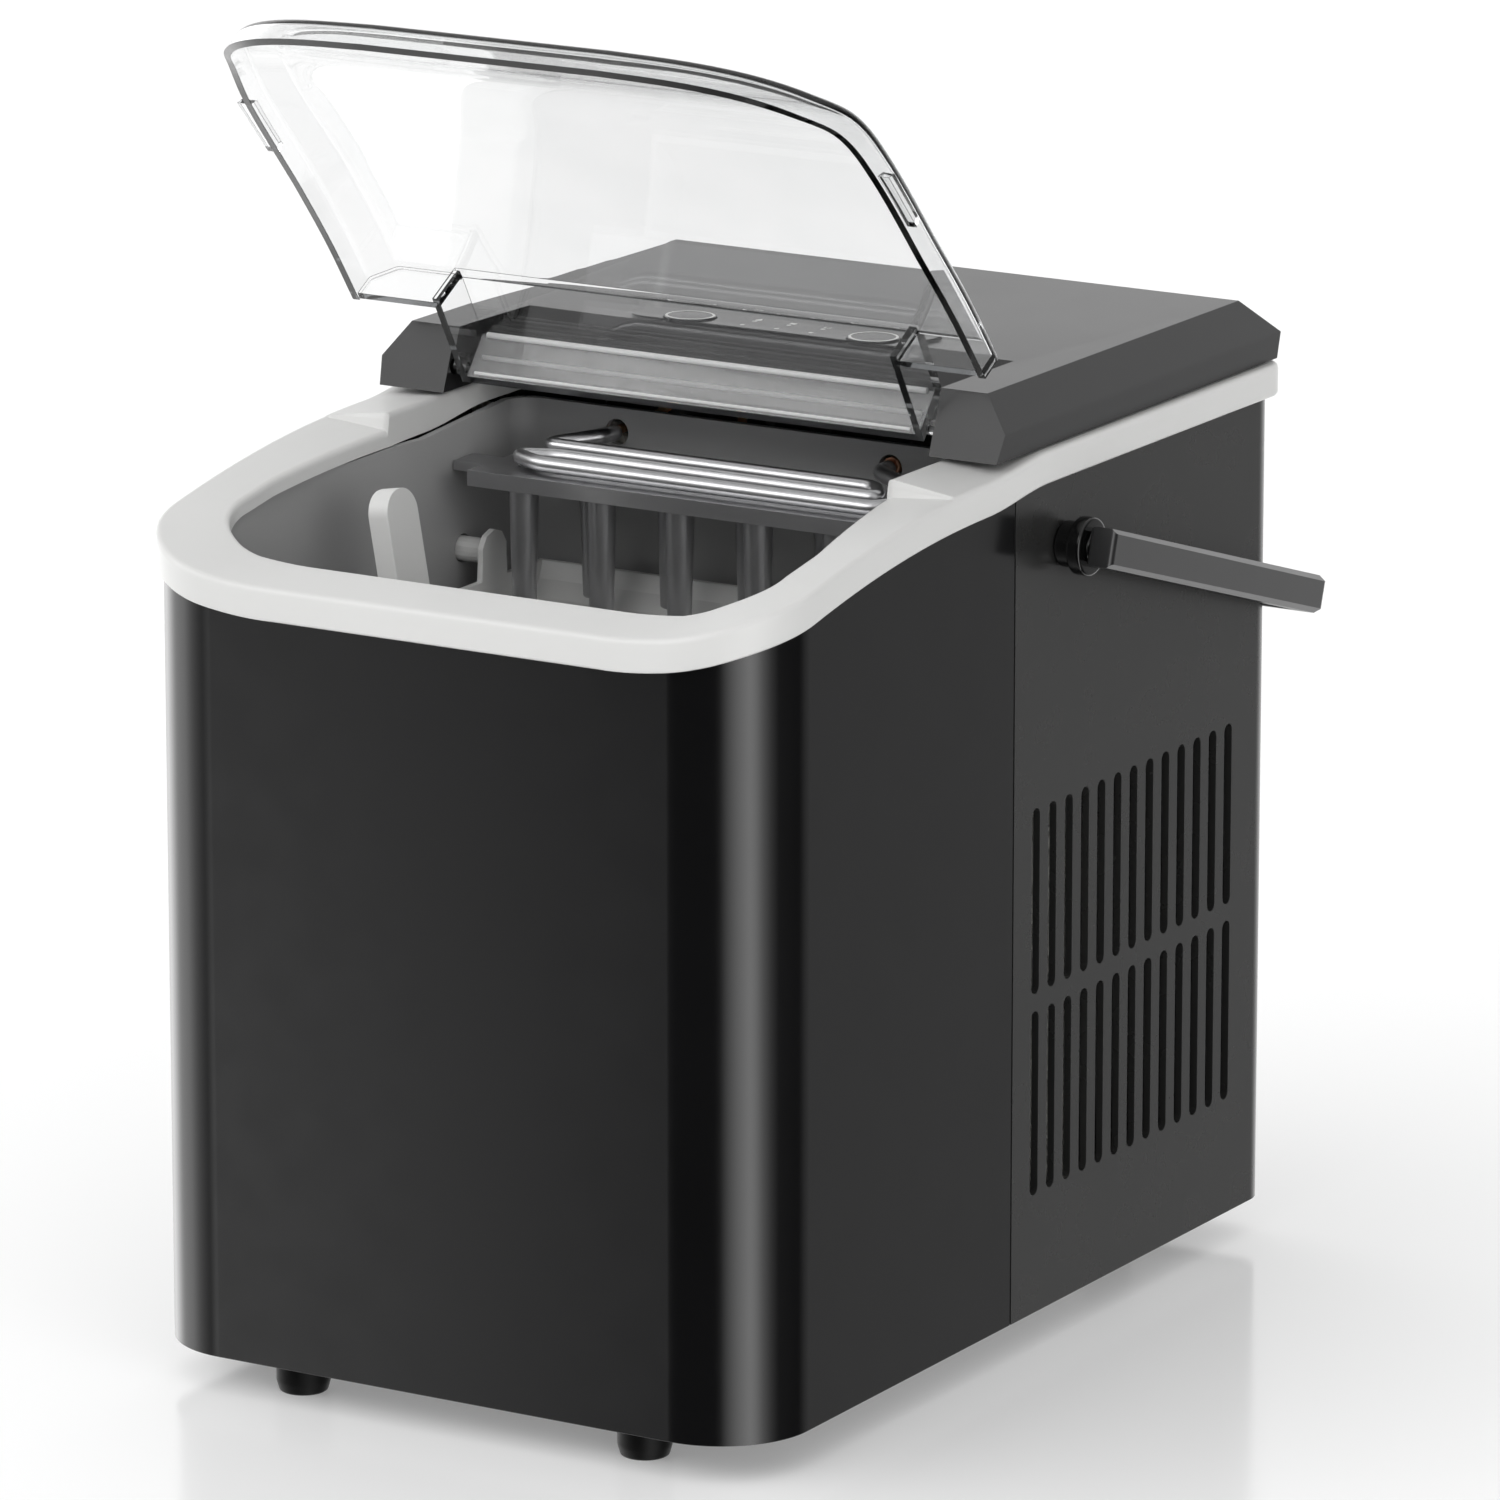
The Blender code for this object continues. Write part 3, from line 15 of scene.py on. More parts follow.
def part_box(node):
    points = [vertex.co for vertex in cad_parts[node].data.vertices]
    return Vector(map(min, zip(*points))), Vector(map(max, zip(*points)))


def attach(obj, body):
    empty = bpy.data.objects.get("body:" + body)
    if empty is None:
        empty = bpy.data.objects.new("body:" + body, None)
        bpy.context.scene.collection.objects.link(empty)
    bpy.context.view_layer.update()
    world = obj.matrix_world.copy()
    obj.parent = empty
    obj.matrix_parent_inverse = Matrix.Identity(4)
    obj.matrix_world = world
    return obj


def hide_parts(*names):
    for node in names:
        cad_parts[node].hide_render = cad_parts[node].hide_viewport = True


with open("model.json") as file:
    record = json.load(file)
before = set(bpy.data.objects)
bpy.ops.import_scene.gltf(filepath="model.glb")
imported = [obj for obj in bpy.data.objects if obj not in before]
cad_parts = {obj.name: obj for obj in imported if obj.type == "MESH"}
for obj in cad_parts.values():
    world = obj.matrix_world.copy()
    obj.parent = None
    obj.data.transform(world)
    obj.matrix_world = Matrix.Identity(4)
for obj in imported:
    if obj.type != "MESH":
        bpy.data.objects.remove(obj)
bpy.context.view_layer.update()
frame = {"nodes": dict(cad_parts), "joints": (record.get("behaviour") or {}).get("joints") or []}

# ---------------- sizes taken from the frame
CASE_LOW, CASE_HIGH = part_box("front_shell")
REAR_LOW, REAR_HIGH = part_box("rear_shell")
COVER_LOW, COVER_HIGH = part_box("top_cover")

FRONT = CASE_LOW.y
HALF = CASE_HIGH.x
BODY_BOTTOM = CASE_LOW.z
SEAM = CASE_HIGH.y - FRONT
REAR_START = REAR_LOW.y - FRONT
BACK = REAR_HIGH.y - FRONT
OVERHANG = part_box("trim_collar")[1].x - HALF
COVER_FRONT = COVER_LOW.y - FRONT
COVER_TOP = COVER_HIGH.z
COVER_HALF = COVER_HIGH.x


def axis_place(joint_name):
    """Depth behind the front face and height of a joint's axis."""
    place = Vector(next(joint for joint in frame["joints"] if joint["name"] == joint_name)["pos_m"])
    return place.y - FRONT, place.z


def middle_of(node_name):
    """Side and height of the middle of a CAD node."""
    low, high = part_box(node_name)
    return (low.x + high.x) / 2, (low.z + high.z) / 2


HINGE_Y, HINGE_Z = axis_place("lid_hinge")
PIVOT_Y, PIVOT_Z = axis_place("handle_hinge")
SCREW_PLACES = [middle_of(f"rear_screw_{number}") for number in range(1, 5)]

# ---------------- sizes the box of a node can't give
WALL = 0.0025
GAP = 0.0004
SEAM_GROOVE = 0.0004
FRONT_CORNER = 0.0302
REAR_CORNER = 0.011
COLLAR_HEIGHT = 0.0103
COLLAR_FRONT_TOP = 0.2593
COLLAR_RISE = 0.026
COLLAR_RISE_RUN = 0.160
COLLAR_RISE_EASE = 0.020
COLLAR_REAR_STEP = 0.0032
COLLAR_FRONT_LIFT = 0.0028
# Any run longer than this is past the collar's rise.
PAST_RISE = 0.4
OPENING_FALL = 0.0050
SHOULDER_Y = 0.114
SHOULDER_TOP = 0.288
COVER_EDGE = 0.298
OPENING_HALF = 0.097
OPENING_SHOULDER_HALF = 0.090
OPENING_FRONT = 0.020
OPENING_CORNER = 0.022
OPENING_TAPER_Y = 0.060
OPENING_BACK = 0.300

LID_OPEN = radians(60)
LID_THICK = 0.0025
LID_SKIRT = 0.0097
LID_CHAMFER_RISE = 0.0078
LID_CHAMFER_IN = 0.0087
LID_NOTCH_Y = 0.1215
LID_NOTCH_HALF = 0.1143
LID_HALF = 0.1127
LID_CURVE_Y = 0.0669
LID_FRONT_Y = -0.0225
LID_SQUARENESS = 4.5
LID_TAIL_HALF = 0.0838
LID_TAIL_Y = 0.1460
LID_BOTTOM = 0.2921
# Depth and height of the closed lid's rim.
LID_RIM_CURVE = ((-0.0225, 0.2522), (-0.0060, 0.2612), (0.0080, 0.2692), (0.0280, 0.2742),
                 (0.0690, 0.2832), (0.0960, 0.2885), (0.1220, LID_BOTTOM))

TUB_HALF = 0.0990
TUB_SHOULDER_HALF = 0.0892
TUB_BAY_HALF = 0.0860
TUB_FRONT = 0.0206
TUB_CORNER = 0.0225
TUB_BACK = 0.1846
TUB_WALL = 0.0024
TUB_BOTTOM = 0.0284
BASKET_HALF = 0.0840
BASKET_FRONT = 0.0270
BASKET_BACK = 0.1150
BASKET_BOTTOM = 0.1030
BASKET_TOP = 0.1900
BASKET_WALL = 0.0022
TRAY_Y = 0.150
TRAY_Z = 0.238
DRAIN_Y = 0.070
DRAIN_Z = 0.038
TUBE_X = 0.050
TUBE_Z = 0.273
PLATE_LOW = 0.2635
PLATE_HIGH = 0.2685

PANEL_HALF = 0.055
PANEL_FRONT = 0.1965
PANEL_BACK = 0.2150
BUTTON_X = 0.0335
BUTTON_Y = 0.2035
BUTTON_RADIUS = 0.0082
BUTTON_BORE = BUTTON_RADIUS + 0.0005
ICON_PITCH = 0.0125
FILM_TOP = COVER_TOP + 0.0010
KEY_TOP = COVER_TOP + 0.0016

HANDLE_REACH = 0.154
HANDLE_DROOP = radians(17.0)
HANDLE_ROOT_X = 0.1283
HANDLE_ROOT_REACH = -0.0062
HANDLE_END_X = 0.1195
HANDLE_TALL = 0.0122
HANDLE_THICK = 0.009
HANDLE_FACET = 0.0014

SCOOP_LENGTH = 0.084
SCOOP_HALF = 0.030
SCOOP_DEPTH = 0.031
SCOOP_HANDLE = 0.084
SCOOP_TILT = radians(80)
SCOOP_PLACE = (-0.0465, 0.0760, 0.1920)

GLAND_X = -0.070
GLAND_Z = 0.040

VENT_COUNT = 13
VENT_FIRST_Y = 0.1685
VENT_PITCH = 0.010383
VENT_WIDTH = 0.0050
# Low and high end of each row of slots.
VENT_ROWS = ((0.0506, 0.1103), (0.1158, 0.1755))


# ---------------- materials
# The part of a noise texture's range that a drift is spread over.
DRIFT_START = 0.35
DRIFT_END = 0.65


def set_socket(socket, value):
    """Gives a socket a value or another node's output."""
    if isinstance(value, bpy.types.NodeSocket):
        socket.id_data.links.new(value, socket)
    else:
        socket.default_value = value


def feed(node, **inputs):
    """Sets inputs of a node by their names, with "_" for a space."""
    for name, value in inputs.items():
        set_socket(node.inputs[name.replace("_", " ")], value)


def new_node(tree, kind, **inputs):
    node = tree.nodes.new("ShaderNode" + kind)
    feed(node, **inputs)
    return node


def new_material(name):
    material = bpy.data.materials.new(name)
    material.use_nodes = True
    tree = material.node_tree
    return material, tree, tree.nodes["Principled BSDF"]


def texture(tree, kind, scale, stretch=(1, 1, 1), **inputs):
    """A texture in the piece's own coordinates."""
    place = new_node(tree, "TexCoord").outputs["Object"]
    mapped = new_node(tree, "Mapping", Vector=place, Scale=stretch).outputs["Vector"]
    return new_node(tree, "Tex" + kind, Vector=mapped, Scale=scale, **inputs)


def noise(tree, scale, detail=3.0, stretch=(1, 1, 1)):
    return texture(tree, "Noise", scale, stretch, Detail=detail).outputs["Fac"]


def remap(tree, value, start, end, low=0.0, high=1.0, kind="SMOOTHSTEP"):
    """The value, taken from the range start to end into the range low to high."""
    node = new_node(tree, "MapRange")
    node.interpolation_type = kind
    feed(node, Value=value, From_Min=start, From_Max=end, To_Min=low, To_Max=high)
    return node.outputs["Result"]


def polish_drift(tree, pattern, low, high):
    """A roughness that drifts from low to high."""
    return remap(tree, pattern, DRIFT_START, DRIFT_END, low, high, "LINEAR")


def colour_drift(tree, pattern, colour, spread):
    """A colour that drifts a little round its mean."""
    ramp = new_node(tree, "ValToRGB", Fac=pattern)
    ramp.color_ramp.elements[0].position = DRIFT_START
    ramp.color_ramp.elements[1].position = DRIFT_END
    for element, share in zip(ramp.color_ramp.elements, (1 - spread, 1 + spread)):
        element.color = (*[min(1.0, part * share) for part in colour], 1.0)
    return ramp.outputs["Color"]


def bump(tree, height, depth):
    return new_node(tree, "Bump", Height=height, Distance=depth, Strength=1.0).outputs["Normal"]


def moulded(name, colour, roughness, grain, depth, drift, wander, specular=0.5):
    """Moulded plastic or rubber: a fine grain, a slow drift of colour and of polish."""
    material, tree, shader = new_material(name)
    feed(shader, Base_Color=colour_drift(tree, noise(tree, 14.0, 4.0), colour, drift),
         Roughness=polish_drift(tree, noise(tree, 60.0, 5.0), roughness - wander, roughness + wander),
         Specular_IOR_Level=specular)
    if depth:
        feed(shader, Normal=bump(tree, noise(tree, grain, 2.0), depth))
    return material


def metal(name, colour, roughness, stretch=(1, 1, 1)):
    """Drawn or brushed metal: stretched scratches in the polish."""
    material, tree, shader = new_material(name)
    scratches = noise(tree, 300.0, 6.0, stretch)
    feed(shader, Metallic=1.0, Base_Color=colour_drift(tree, noise(tree, 30.0, 4.0), colour, 0.05),
         Roughness=polish_drift(tree, scratches, roughness - 0.02, roughness + 0.03))
    return material


def foam(name, colour):
    """Closed-cell foam: small open pores."""
    material, tree, shader = new_material(name)
    pores = texture(tree, "Voronoi", 700.0).outputs["Distance"]
    feed(shader, Base_Color=colour_drift(tree, noise(tree, 40.0), colour, 0.06), Roughness=0.9,
         Normal=bump(tree, pores, 0.0004))
    return material


def acrylic(name, colour, low, high, clarity=1.0):
    """Clear moulded acrylic: its polish drifts from low to high, and its thickness has a trace of tint."""
    material, tree, shader = new_material(name)
    flow = noise(tree, 25.0, 2.0)
    feed(shader, Base_Color=colour_drift(tree, flow, colour, 0.02), Transmission_Weight=clarity, IOR=1.49,
         Roughness=polish_drift(tree, flow, low, high))
    absorb = new_node(tree, "VolumeAbsorption", Color=(0.45, 0.48, 0.50, 1.0), Density=14.0)
    feed(tree.nodes["Material Output"], Volume=absorb.outputs["Volume"])
    return material


def circuit_board(name):
    """Green lacquer with lighter tracks."""
    material, tree, shader = new_material(name)
    tracks = texture(tree, "Brick", 90.0, Color1=(0.015, 0.12, 0.05, 1.0), Color2=(0.02, 0.16, 0.07, 1.0),
                     Mortar=(0.03, 0.24, 0.10, 1.0))
    feed(shader, Base_Color=tracks.outputs["Color"], Roughness=0.4)
    return material


GLOSS = moulded("gloss_black_plastic", (0.0045, 0.0045, 0.0048), 0.145, 700.0, 0.0, 0.08, 0.012)
SIDE = moulded("satin_black_plastic", (0.021, 0.021, 0.0205), 0.27, 900.0, 0.0, 0.04, 0.008)
COVER = moulded("cover_plastic", (0.016, 0.016, 0.0165), 0.22, 900.0, 0.0, 0.04, 0.008)
HANDLE = moulded("handle_plastic", (0.018, 0.018, 0.0185), 0.30, 1500.0, 0.0, 0.04, 0.010)
PIVOT = moulded("pivot_plastic", (0.0035, 0.0035, 0.0036), 0.16, 900.0, 0.0, 0.08, 0.02)
LIGHT = moulded("light_grey_plastic", (0.71, 0.71, 0.70), 0.38, 900.0, 0.000003, 0.012, 0.03)
BIN = moulded("bin_plastic", (0.34, 0.34, 0.34), 0.36, 900.0, 0.000003, 0.02, 0.04)
WHITE = moulded("white_plastic", (0.70, 0.70, 0.69), 0.42, 900.0, 0.000004, 0.02, 0.04)
DARK = moulded("inner_black_plastic", (0.012, 0.012, 0.012), 0.42, 900.0, 0.000004, 0.10, 0.04)
FILM = moulded("panel_film", (0.0030, 0.0030, 0.0033), 0.13, 500.0, 0.0, 0.05, 0.01)
PRINT = moulded("panel_print", (0.66, 0.66, 0.65), 0.40, 900.0, 0.0, 0.02, 0.03)
RUBBER = moulded("black_rubber", (0.003, 0.003, 0.003), 0.60, 1300.0, 0.00001, 0.15, 0.06, 0.20)
PAINT = moulded("black_paint", (0.010, 0.010, 0.010), 0.30, 300.0, 0.00001, 0.10, 0.05)
FOAM = foam("insulating_foam", (0.66, 0.65, 0.60))
STEEL = metal("plated_steel", (0.55, 0.55, 0.56), 0.30, (1, 1, 12))
FINS = metal("fin_aluminium", (0.74, 0.75, 0.76), 0.34, (1, 8, 1))
COPPER = metal("copper_tube", (0.78, 0.43, 0.27), 0.30)
BOARD = circuit_board("circuit_board")
CLEAR = acrylic("clear_acrylic", (0.985, 0.99, 0.99), 0.0, 0.015)
# dark acrylic for the lid's rim and rounded edges: painted shade standing in for the dark lines that
# refraction draws along them
PAINTED_EDGE_SHADE = acrylic("acrylic_painted_edge_shade", (0.10, 0.105, 0.11), 0.05, 0.12)
# whitish, mostly diffuse acrylic for the tail's ribs: painted highlight lines along them
RIB_PAINTED_HIGHLIGHT = acrylic("rib_painted_highlight", (0.95, 0.95, 0.95), 0.30, 0.50, 0.20)
# whitish, less clear acrylic on the tail's back wall: painted reflection of the bright light that lifts that
# wall
PAINTED_TAIL_REFLECTION = acrylic("whitish_acrylic_painted_reflection", (0.93, 0.93, 0.93), 0.02, 0.05, 0.80)


# ---------------- mesh helpers
def add_object(name, data):
    obj = bpy.data.objects.new(name, data)
    bpy.context.scene.collection.objects.link(obj)
    return obj


def object_from(name, bm, turn_outward=True):
    if turn_outward:
        bmesh.ops.recalc_face_normals(bm, faces=bm.faces)
    mesh = bpy.data.meshes.new(name)
    bm.to_mesh(mesh)
    bm.free()
    return add_object(name, mesh)


def evaluated_mesh(obj):
    bpy.context.view_layer.update()
    return bpy.data.meshes.new_from_object(obj.evaluated_get(bpy.context.evaluated_depsgraph_get()))


def bake(obj):
    """The same piece with its modifiers applied."""
    mesh = evaluated_mesh(obj)
    obj.modifiers.clear()
    obj.data = mesh
    return obj


def combine(obj, others, operation):
    for other in others:
        step = obj.modifiers.new(operation.lower(), "BOOLEAN")
        step.operation = operation
        step.solver = "EXACT"
        step.object = other
    bake(obj)
    for other in others:
        bpy.data.objects.remove(other)


def cut(obj, *others):
    """Cuts the others out of obj and removes them."""
    combine(obj, others, "DIFFERENCE")


def join(obj, *others):
    """Joins the others to obj and removes them."""
    combine(obj, others, "UNION")


def merged(name, pieces):
    """One object from several that stand apart."""
    bm = bmesh.new()
    for piece in pieces:
        bm.from_mesh(piece.data)
        bpy.data.objects.remove(piece)
    return object_from(name, bm)


def box(name, low, high):
    low, high = Vector(low), Vector(high)
    bm = bmesh.new()
    bmesh.ops.create_cube(bm, size=1.0)
    bmesh.ops.scale(bm, vec=high - low, verts=bm.verts)
    bmesh.ops.translate(bm, vec=(low + high) / 2, verts=bm.verts)
    return object_from(name, bm)


AXIS_TURN = {
    "X": Matrix(((0, 0, 1), (1, 0, 0), (0, 1, 0))).to_4x4(),
    "Y": Matrix(((1, 0, 0), (0, 0, -1), (0, 1, 0))).to_4x4(),
    "Z": Matrix.Identity(4),
}
DIRECTION = {"X": Vector((1, 0, 0)), "Y": Vector((0, 1, 0)), "Z": Vector((0, 0, 1))}


def cylinder(name, radius, start, length, axis, sides=48):
    bm = bmesh.new()
    bmesh.ops.create_cone(bm, cap_ends=True, segments=sides, radius1=radius, radius2=radius, depth=length)
    bmesh.ops.transform(bm, matrix=AXIS_TURN[axis], verts=bm.verts)
    bmesh.ops.translate(bm, vec=Vector(start) + DIRECTION[axis] * length / 2, verts=bm.verts)
    return object_from(name, bm)


def prism(name, outline, axis, low, high):
    """A flat outline in the plane across the axis, thickened from low to high along it."""
    bm = bmesh.new()
    face = bm.faces.new([bm.verts.new((u, v, low)) for u, v in outline])
    grown = bmesh.ops.extrude_face_region(bm, geom=[face])["geom"]
    moved = [item for item in grown if isinstance(item, bmesh.types.BMVert)]
    bmesh.ops.translate(bm, vec=(0, 0, high - low), verts=moved)
    bmesh.ops.transform(bm, matrix=AXIS_TURN[axis], verts=bm.verts)
    if axis == "Y":
        bmesh.ops.scale(bm, vec=(1, -1, 1), verts=bm.verts)
    return object_from(name, bm)


def turned(name, profile, place, axis, steps=64):
    """A turned solid from (radius, height) points, about +X, -X, +Y or +Z."""
    bm = bmesh.new()
    closed = profile[0][0] > 0
    rings = []
    for radius, height in profile:
        if radius == 0:
            rings.append([bm.verts.new((0, 0, height))])
        else:
            turns = [tau * step / steps for step in range(steps)]
            ring = [(radius * cos(turn), radius * sin(turn), height) for turn in turns]
            rings.append([bm.verts.new(point) for point in ring])
    pairs = list(zip(rings, rings[1:])) + ([(rings[-1], rings[0])] if closed else [])
    for first, second in pairs:
        for index in range(steps):
            after = (index + 1) % steps
            corners = [first[index % len(first)], first[after % len(first)],
                       second[after % len(second)], second[index % len(second)]]
            bm.faces.new(list(dict.fromkeys(corners)))
    degrees, about = {"X": (90, "Y"), "-X": (-90, "Y"), "Y": (-90, "X"), "Z": (0, "Z")}[axis]
    tilt = Matrix.Rotation(radians(degrees), 4, about)
    bmesh.ops.transform(bm, matrix=Matrix.Translation(place) @ tilt, verts=bm.verts)
    return object_from(name, bm)


def skin(bm, rows, closed=False):
    """Quads between neighbouring rows of points, each row closed into a ring where asked."""
    made = [[bm.verts.new(point) for point in row] for row in rows]
    for row, following in zip(made, made[1:]):
        for index in range(len(row) if closed else len(row) - 1):
            after = (index + 1) % len(row)
            bm.faces.new((row[index], row[after], following[after], following[index]))
    return made


def grid(name, rows, thickness, mirror=False, offset=-1.0):
    """A wall lofted through rows of points, mirrored where asked."""
    bm = bmesh.new()
    skin(bm, rows)
    bmesh.ops.remove_doubles(bm, verts=bm.verts, dist=0.00001)
    obj = object_from(name, bm, turn_outward=False)
    if mirror:
        both = obj.modifiers.new("both_sides", "MIRROR")
        both.use_clip = True
        both.merge_threshold = 0.00005
    solid = obj.modifiers.new("wall", "SOLIDIFY")
    solid.thickness = thickness
    solid.offset = offset
    solid.use_even_offset = True
    return bake(obj)


def arc(centre, radius, start, end, steps):
    """Points on an arc, angles in degrees."""
    turns = [radians(start + (end - start) * step / steps) for step in range(steps + 1)]
    return [(centre[0] + radius * cos(turn), centre[1] + radius * sin(turn)) for turn in turns]


def rounded_rectangle(half_width, low, high, radius, steps):
    x, bottom, top = half_width - radius, low + radius, high - radius
    points = []
    for centre, start in (((x, bottom), -90), ((x, top), 0), ((-x, top), 90), ((-x, bottom), 180)):
        points += arc(centre, radius, start, start + 90, steps)
    return points


def stadium(centre, low, high, width):
    """An upright slot outline with round ends."""
    radius = width / 2
    top = arc((centre, high - radius), radius, 0, 180, 10)
    return top + arc((centre, low + radius), radius, 180, 360, 10)


def filleted(points, radius, steps):
    """An open line of 2D or 3D points with each inner corner replaced by a short curve."""
    line = [Vector(point) for point in points]
    path = [tuple(line[0])]
    for before, corner, after in zip(line, line[1:], line[2:]):
        reach = min(radius, (corner - before).length / 2, (after - corner).length / 2)
        inward = corner + (before - corner).normalized() * reach
        onward = corner + (after - corner).normalized() * reach
        for step in range(steps + 1):
            t = step / steps
            path.append(tuple(inward * (1 - t) ** 2 + corner * 2 * t * (1 - t) + onward * t ** 2))
    path.append(tuple(line[-1]))
    return path


def both_sides(near, far):
    """Low and high x of the same feature on the left and on the right."""
    return (-far, -near), (near, far)


def smoothstep(low, high, value):
    t = min(1.0, max(0.0, (value - low) / (high - low)))
    return t * t * (3 - 2 * t)


def round_edges(obj, width, segments, angle):
    """Rounds every edge sharper than the angle."""
    bevel = obj.modifiers.new("rounded_edges", "BEVEL")
    bevel.width = width
    bevel.segments = segments
    bevel.limit_method = "ANGLE"
    bevel.angle_limit = radians(angle)
    bevel.miter_outer = "MITER_ARC"
    return obj


def settle(obj, body, slot, material, *nodes, angle=40):
    """Moves a finished piece into the frame and names its body, its material and its CAD nodes; the slot is
    not used.
    """
    obj.data.transform(Matrix.Translation((0, FRONT, 0)))
    obj.data.shade_smooth()
    obj.data.set_sharp_from_angle(angle=radians(angle))
    even = obj.modifiers.new("even_shading", "WEIGHTED_NORMAL")
    even.keep_sharp = True
    even.weight = 80
    if not obj.data.materials:
        obj.data.materials.append(material)
    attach(obj, body)
    if nodes:
        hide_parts(*nodes)


# ---------------- outline of the body
def side_rise(run):
    """Share of the collar's rise at a run along the side, counted from the start of the corner."""
    return sin(pi / 2 * min(1.0, max(0.0, run) / COLLAR_RISE_RUN)) ** 0.85


def collar_top(run, depth):
    """Height of the collar's top outer edge: flat in front, easing into the rise round the corner."""
    nearby = [side_rise(run + COLLAR_RISE_EASE * shift / 24) for shift in range(-24, 25)]
    rise = sum(nearby) / len(nearby)
    return COLLAR_FRONT_TOP + COLLAR_RISE * rise + COLLAR_REAR_STEP * smoothstep(0.135, 0.172, depth)


def opening_height(run, depth):
    """Height of the opening's edge: above the collar's outer edge in front, below it along the sides."""
    fall = OPENING_FALL * smoothstep(-0.020, 0.075, run)
    return collar_top(run, depth) + COLLAR_FRONT_LIFT - fall


def opening_half(depth):
    taper = min(1.0, max(0.0, (depth - OPENING_TAPER_Y) / (SHOULDER_Y - OPENING_TAPER_Y)))
    return OPENING_HALF + (OPENING_SHOULDER_HALF - OPENING_HALF) * taper


FRONT_SHARES = (0.0, 0.3, 0.6, 0.70, 0.75, 0.80, 0.84, 0.88, 0.92, 0.96, 0.99)
CORNER_STEPS = 28


def front_stations(offset, last_y, pitch=0.006):
    """Points from the front middle round the right front corner and back to last_y, with their run."""
    half = HALF + offset
    radius = FRONT_CORNER + offset
    centre = (half - radius, FRONT_CORNER)
    stations = [(centre[0] * share, -offset, centre[0] * (share - 1)) for share in FRONT_SHARES]
    for step in range(CORNER_STEPS + 1):
        turn = pi / 2 * step / CORNER_STEPS
        stations.append((centre[0] + radius * sin(turn), centre[1] - radius * cos(turn),
                         (FRONT_CORNER + OVERHANG) * turn))
    corner_run = stations[-1][2]
    count = ceil((last_y - FRONT_CORNER) / pitch)
    depths = [FRONT_CORNER + 0.0008] + [FRONT_CORNER + (last_y - FRONT_CORNER) * k / count
                                        for k in range(1, count + 1)]
    stations += [(half, y, corner_run + y - FRONT_CORNER) for y in depths]
    return stations


# ---------------- casings
def front_casing():
    stations = front_stations(0.0, SEAM - SEAM_GROOVE)
    rows = []
    for share in (0.0, 0.004, 0.996, 1.0):
        row = []
        for x, y, run in stations:
            top = collar_top(run, y) - COLLAR_HEIGHT - GAP
            row.append((x, y, BODY_BOTTOM + (top - BODY_BOTTOM) * share))
        rows.append(row)
    shell = grid("front_casing", rows, WALL, mirror=True)
    cut(shell, cylinder("drain_hole", 0.0078, (-HALF - 0.01, DRAIN_Y, DRAIN_Z), 0.02, "X"))
    round_edges(shell, 0.0005, 3, 50)
    settle(shell, "casing", "shell", GLOSS, "front_shell")


def rear_casing():
    corner = arc((HALF - REAR_CORNER, BACK - REAR_CORNER), REAR_CORNER, 0, 90, 12)
    top_z = collar_top(0.3, 0.3) - COLLAR_HEIGHT - GAP
    seam_top = collar_top(0.18, SEAM) - COLLAR_HEIGHT - GAP
    outline = [(HALF, REAR_START), (HALF, 0.175), (HALF, BACK - REAR_CORNER - 0.001)] + corner
    outline += [(HALF - REAR_CORNER - 0.001, BACK), (0.0, BACK)]
    bottom = [(x, y, BODY_BOTTOM) for x, y in outline]
    top = [(x, y, seam_top if y < 0.16 else top_z) for x, y in outline]
    shell = grid("rear_casing", (bottom, top), WALL, mirror=True)
    cutters = []
    for low, high in VENT_ROWS:
        for number in range(VENT_COUNT):
            outline = stadium(VENT_FIRST_Y + number * VENT_PITCH, low, high, VENT_WIDTH)
            cutters.append(prism("slot", outline, "X", -0.14, 0.14))
    for x, z in SCREW_PLACES:
        cutters.append(cylinder("screw_hole", 0.0022, (x, BACK - 0.01, z), 0.02, "Y"))
    cutters.append(cylinder("gland_hole", 0.0068, (GLAND_X, BACK - 0.01, GLAND_Z), 0.02, "Y"))
    cutters.append(cylinder("pivot_hole", 0.0048, (-0.13, PIVOT_Y, PIVOT_Z), 0.26, "X"))
    cut(shell, merged("rear_holes", cutters))
    round_edges(shell, 0.0005, 3, 50)
    settle(shell, "casing", "rear", SIDE, "rear_shell")


def opening_station(number, x, y, run):
    """The point of the opening's edge that matches an outer station, with its run."""
    corner_step = number - len(FRONT_SHARES)
    corner_x, corner_y = OPENING_HALF - OPENING_CORNER, OPENING_FRONT + OPENING_CORNER
    if corner_step < 0:
        return corner_x * FRONT_SHARES[number], OPENING_FRONT, run
    if corner_step <= CORNER_STEPS:
        share = corner_step / CORNER_STEPS
        across, back = sin(pi / 2 * share), cos(pi / 2 * share)
        eased_run = run + (corner_y - FRONT_CORNER) * share
        return corner_x + OPENING_CORNER * across, corner_y - OPENING_CORNER * back, eased_run
    share = min(1.0, (y - FRONT_CORNER) / (SHOULDER_Y - FRONT_CORNER))
    inner_y = corner_y + (SHOULDER_Y - corner_y) * share + max(0.0, y - SHOULDER_Y)
    inner_y = min(inner_y, OPENING_BACK)
    return min(x, opening_half(inner_y)), inner_y, run + inner_y - y


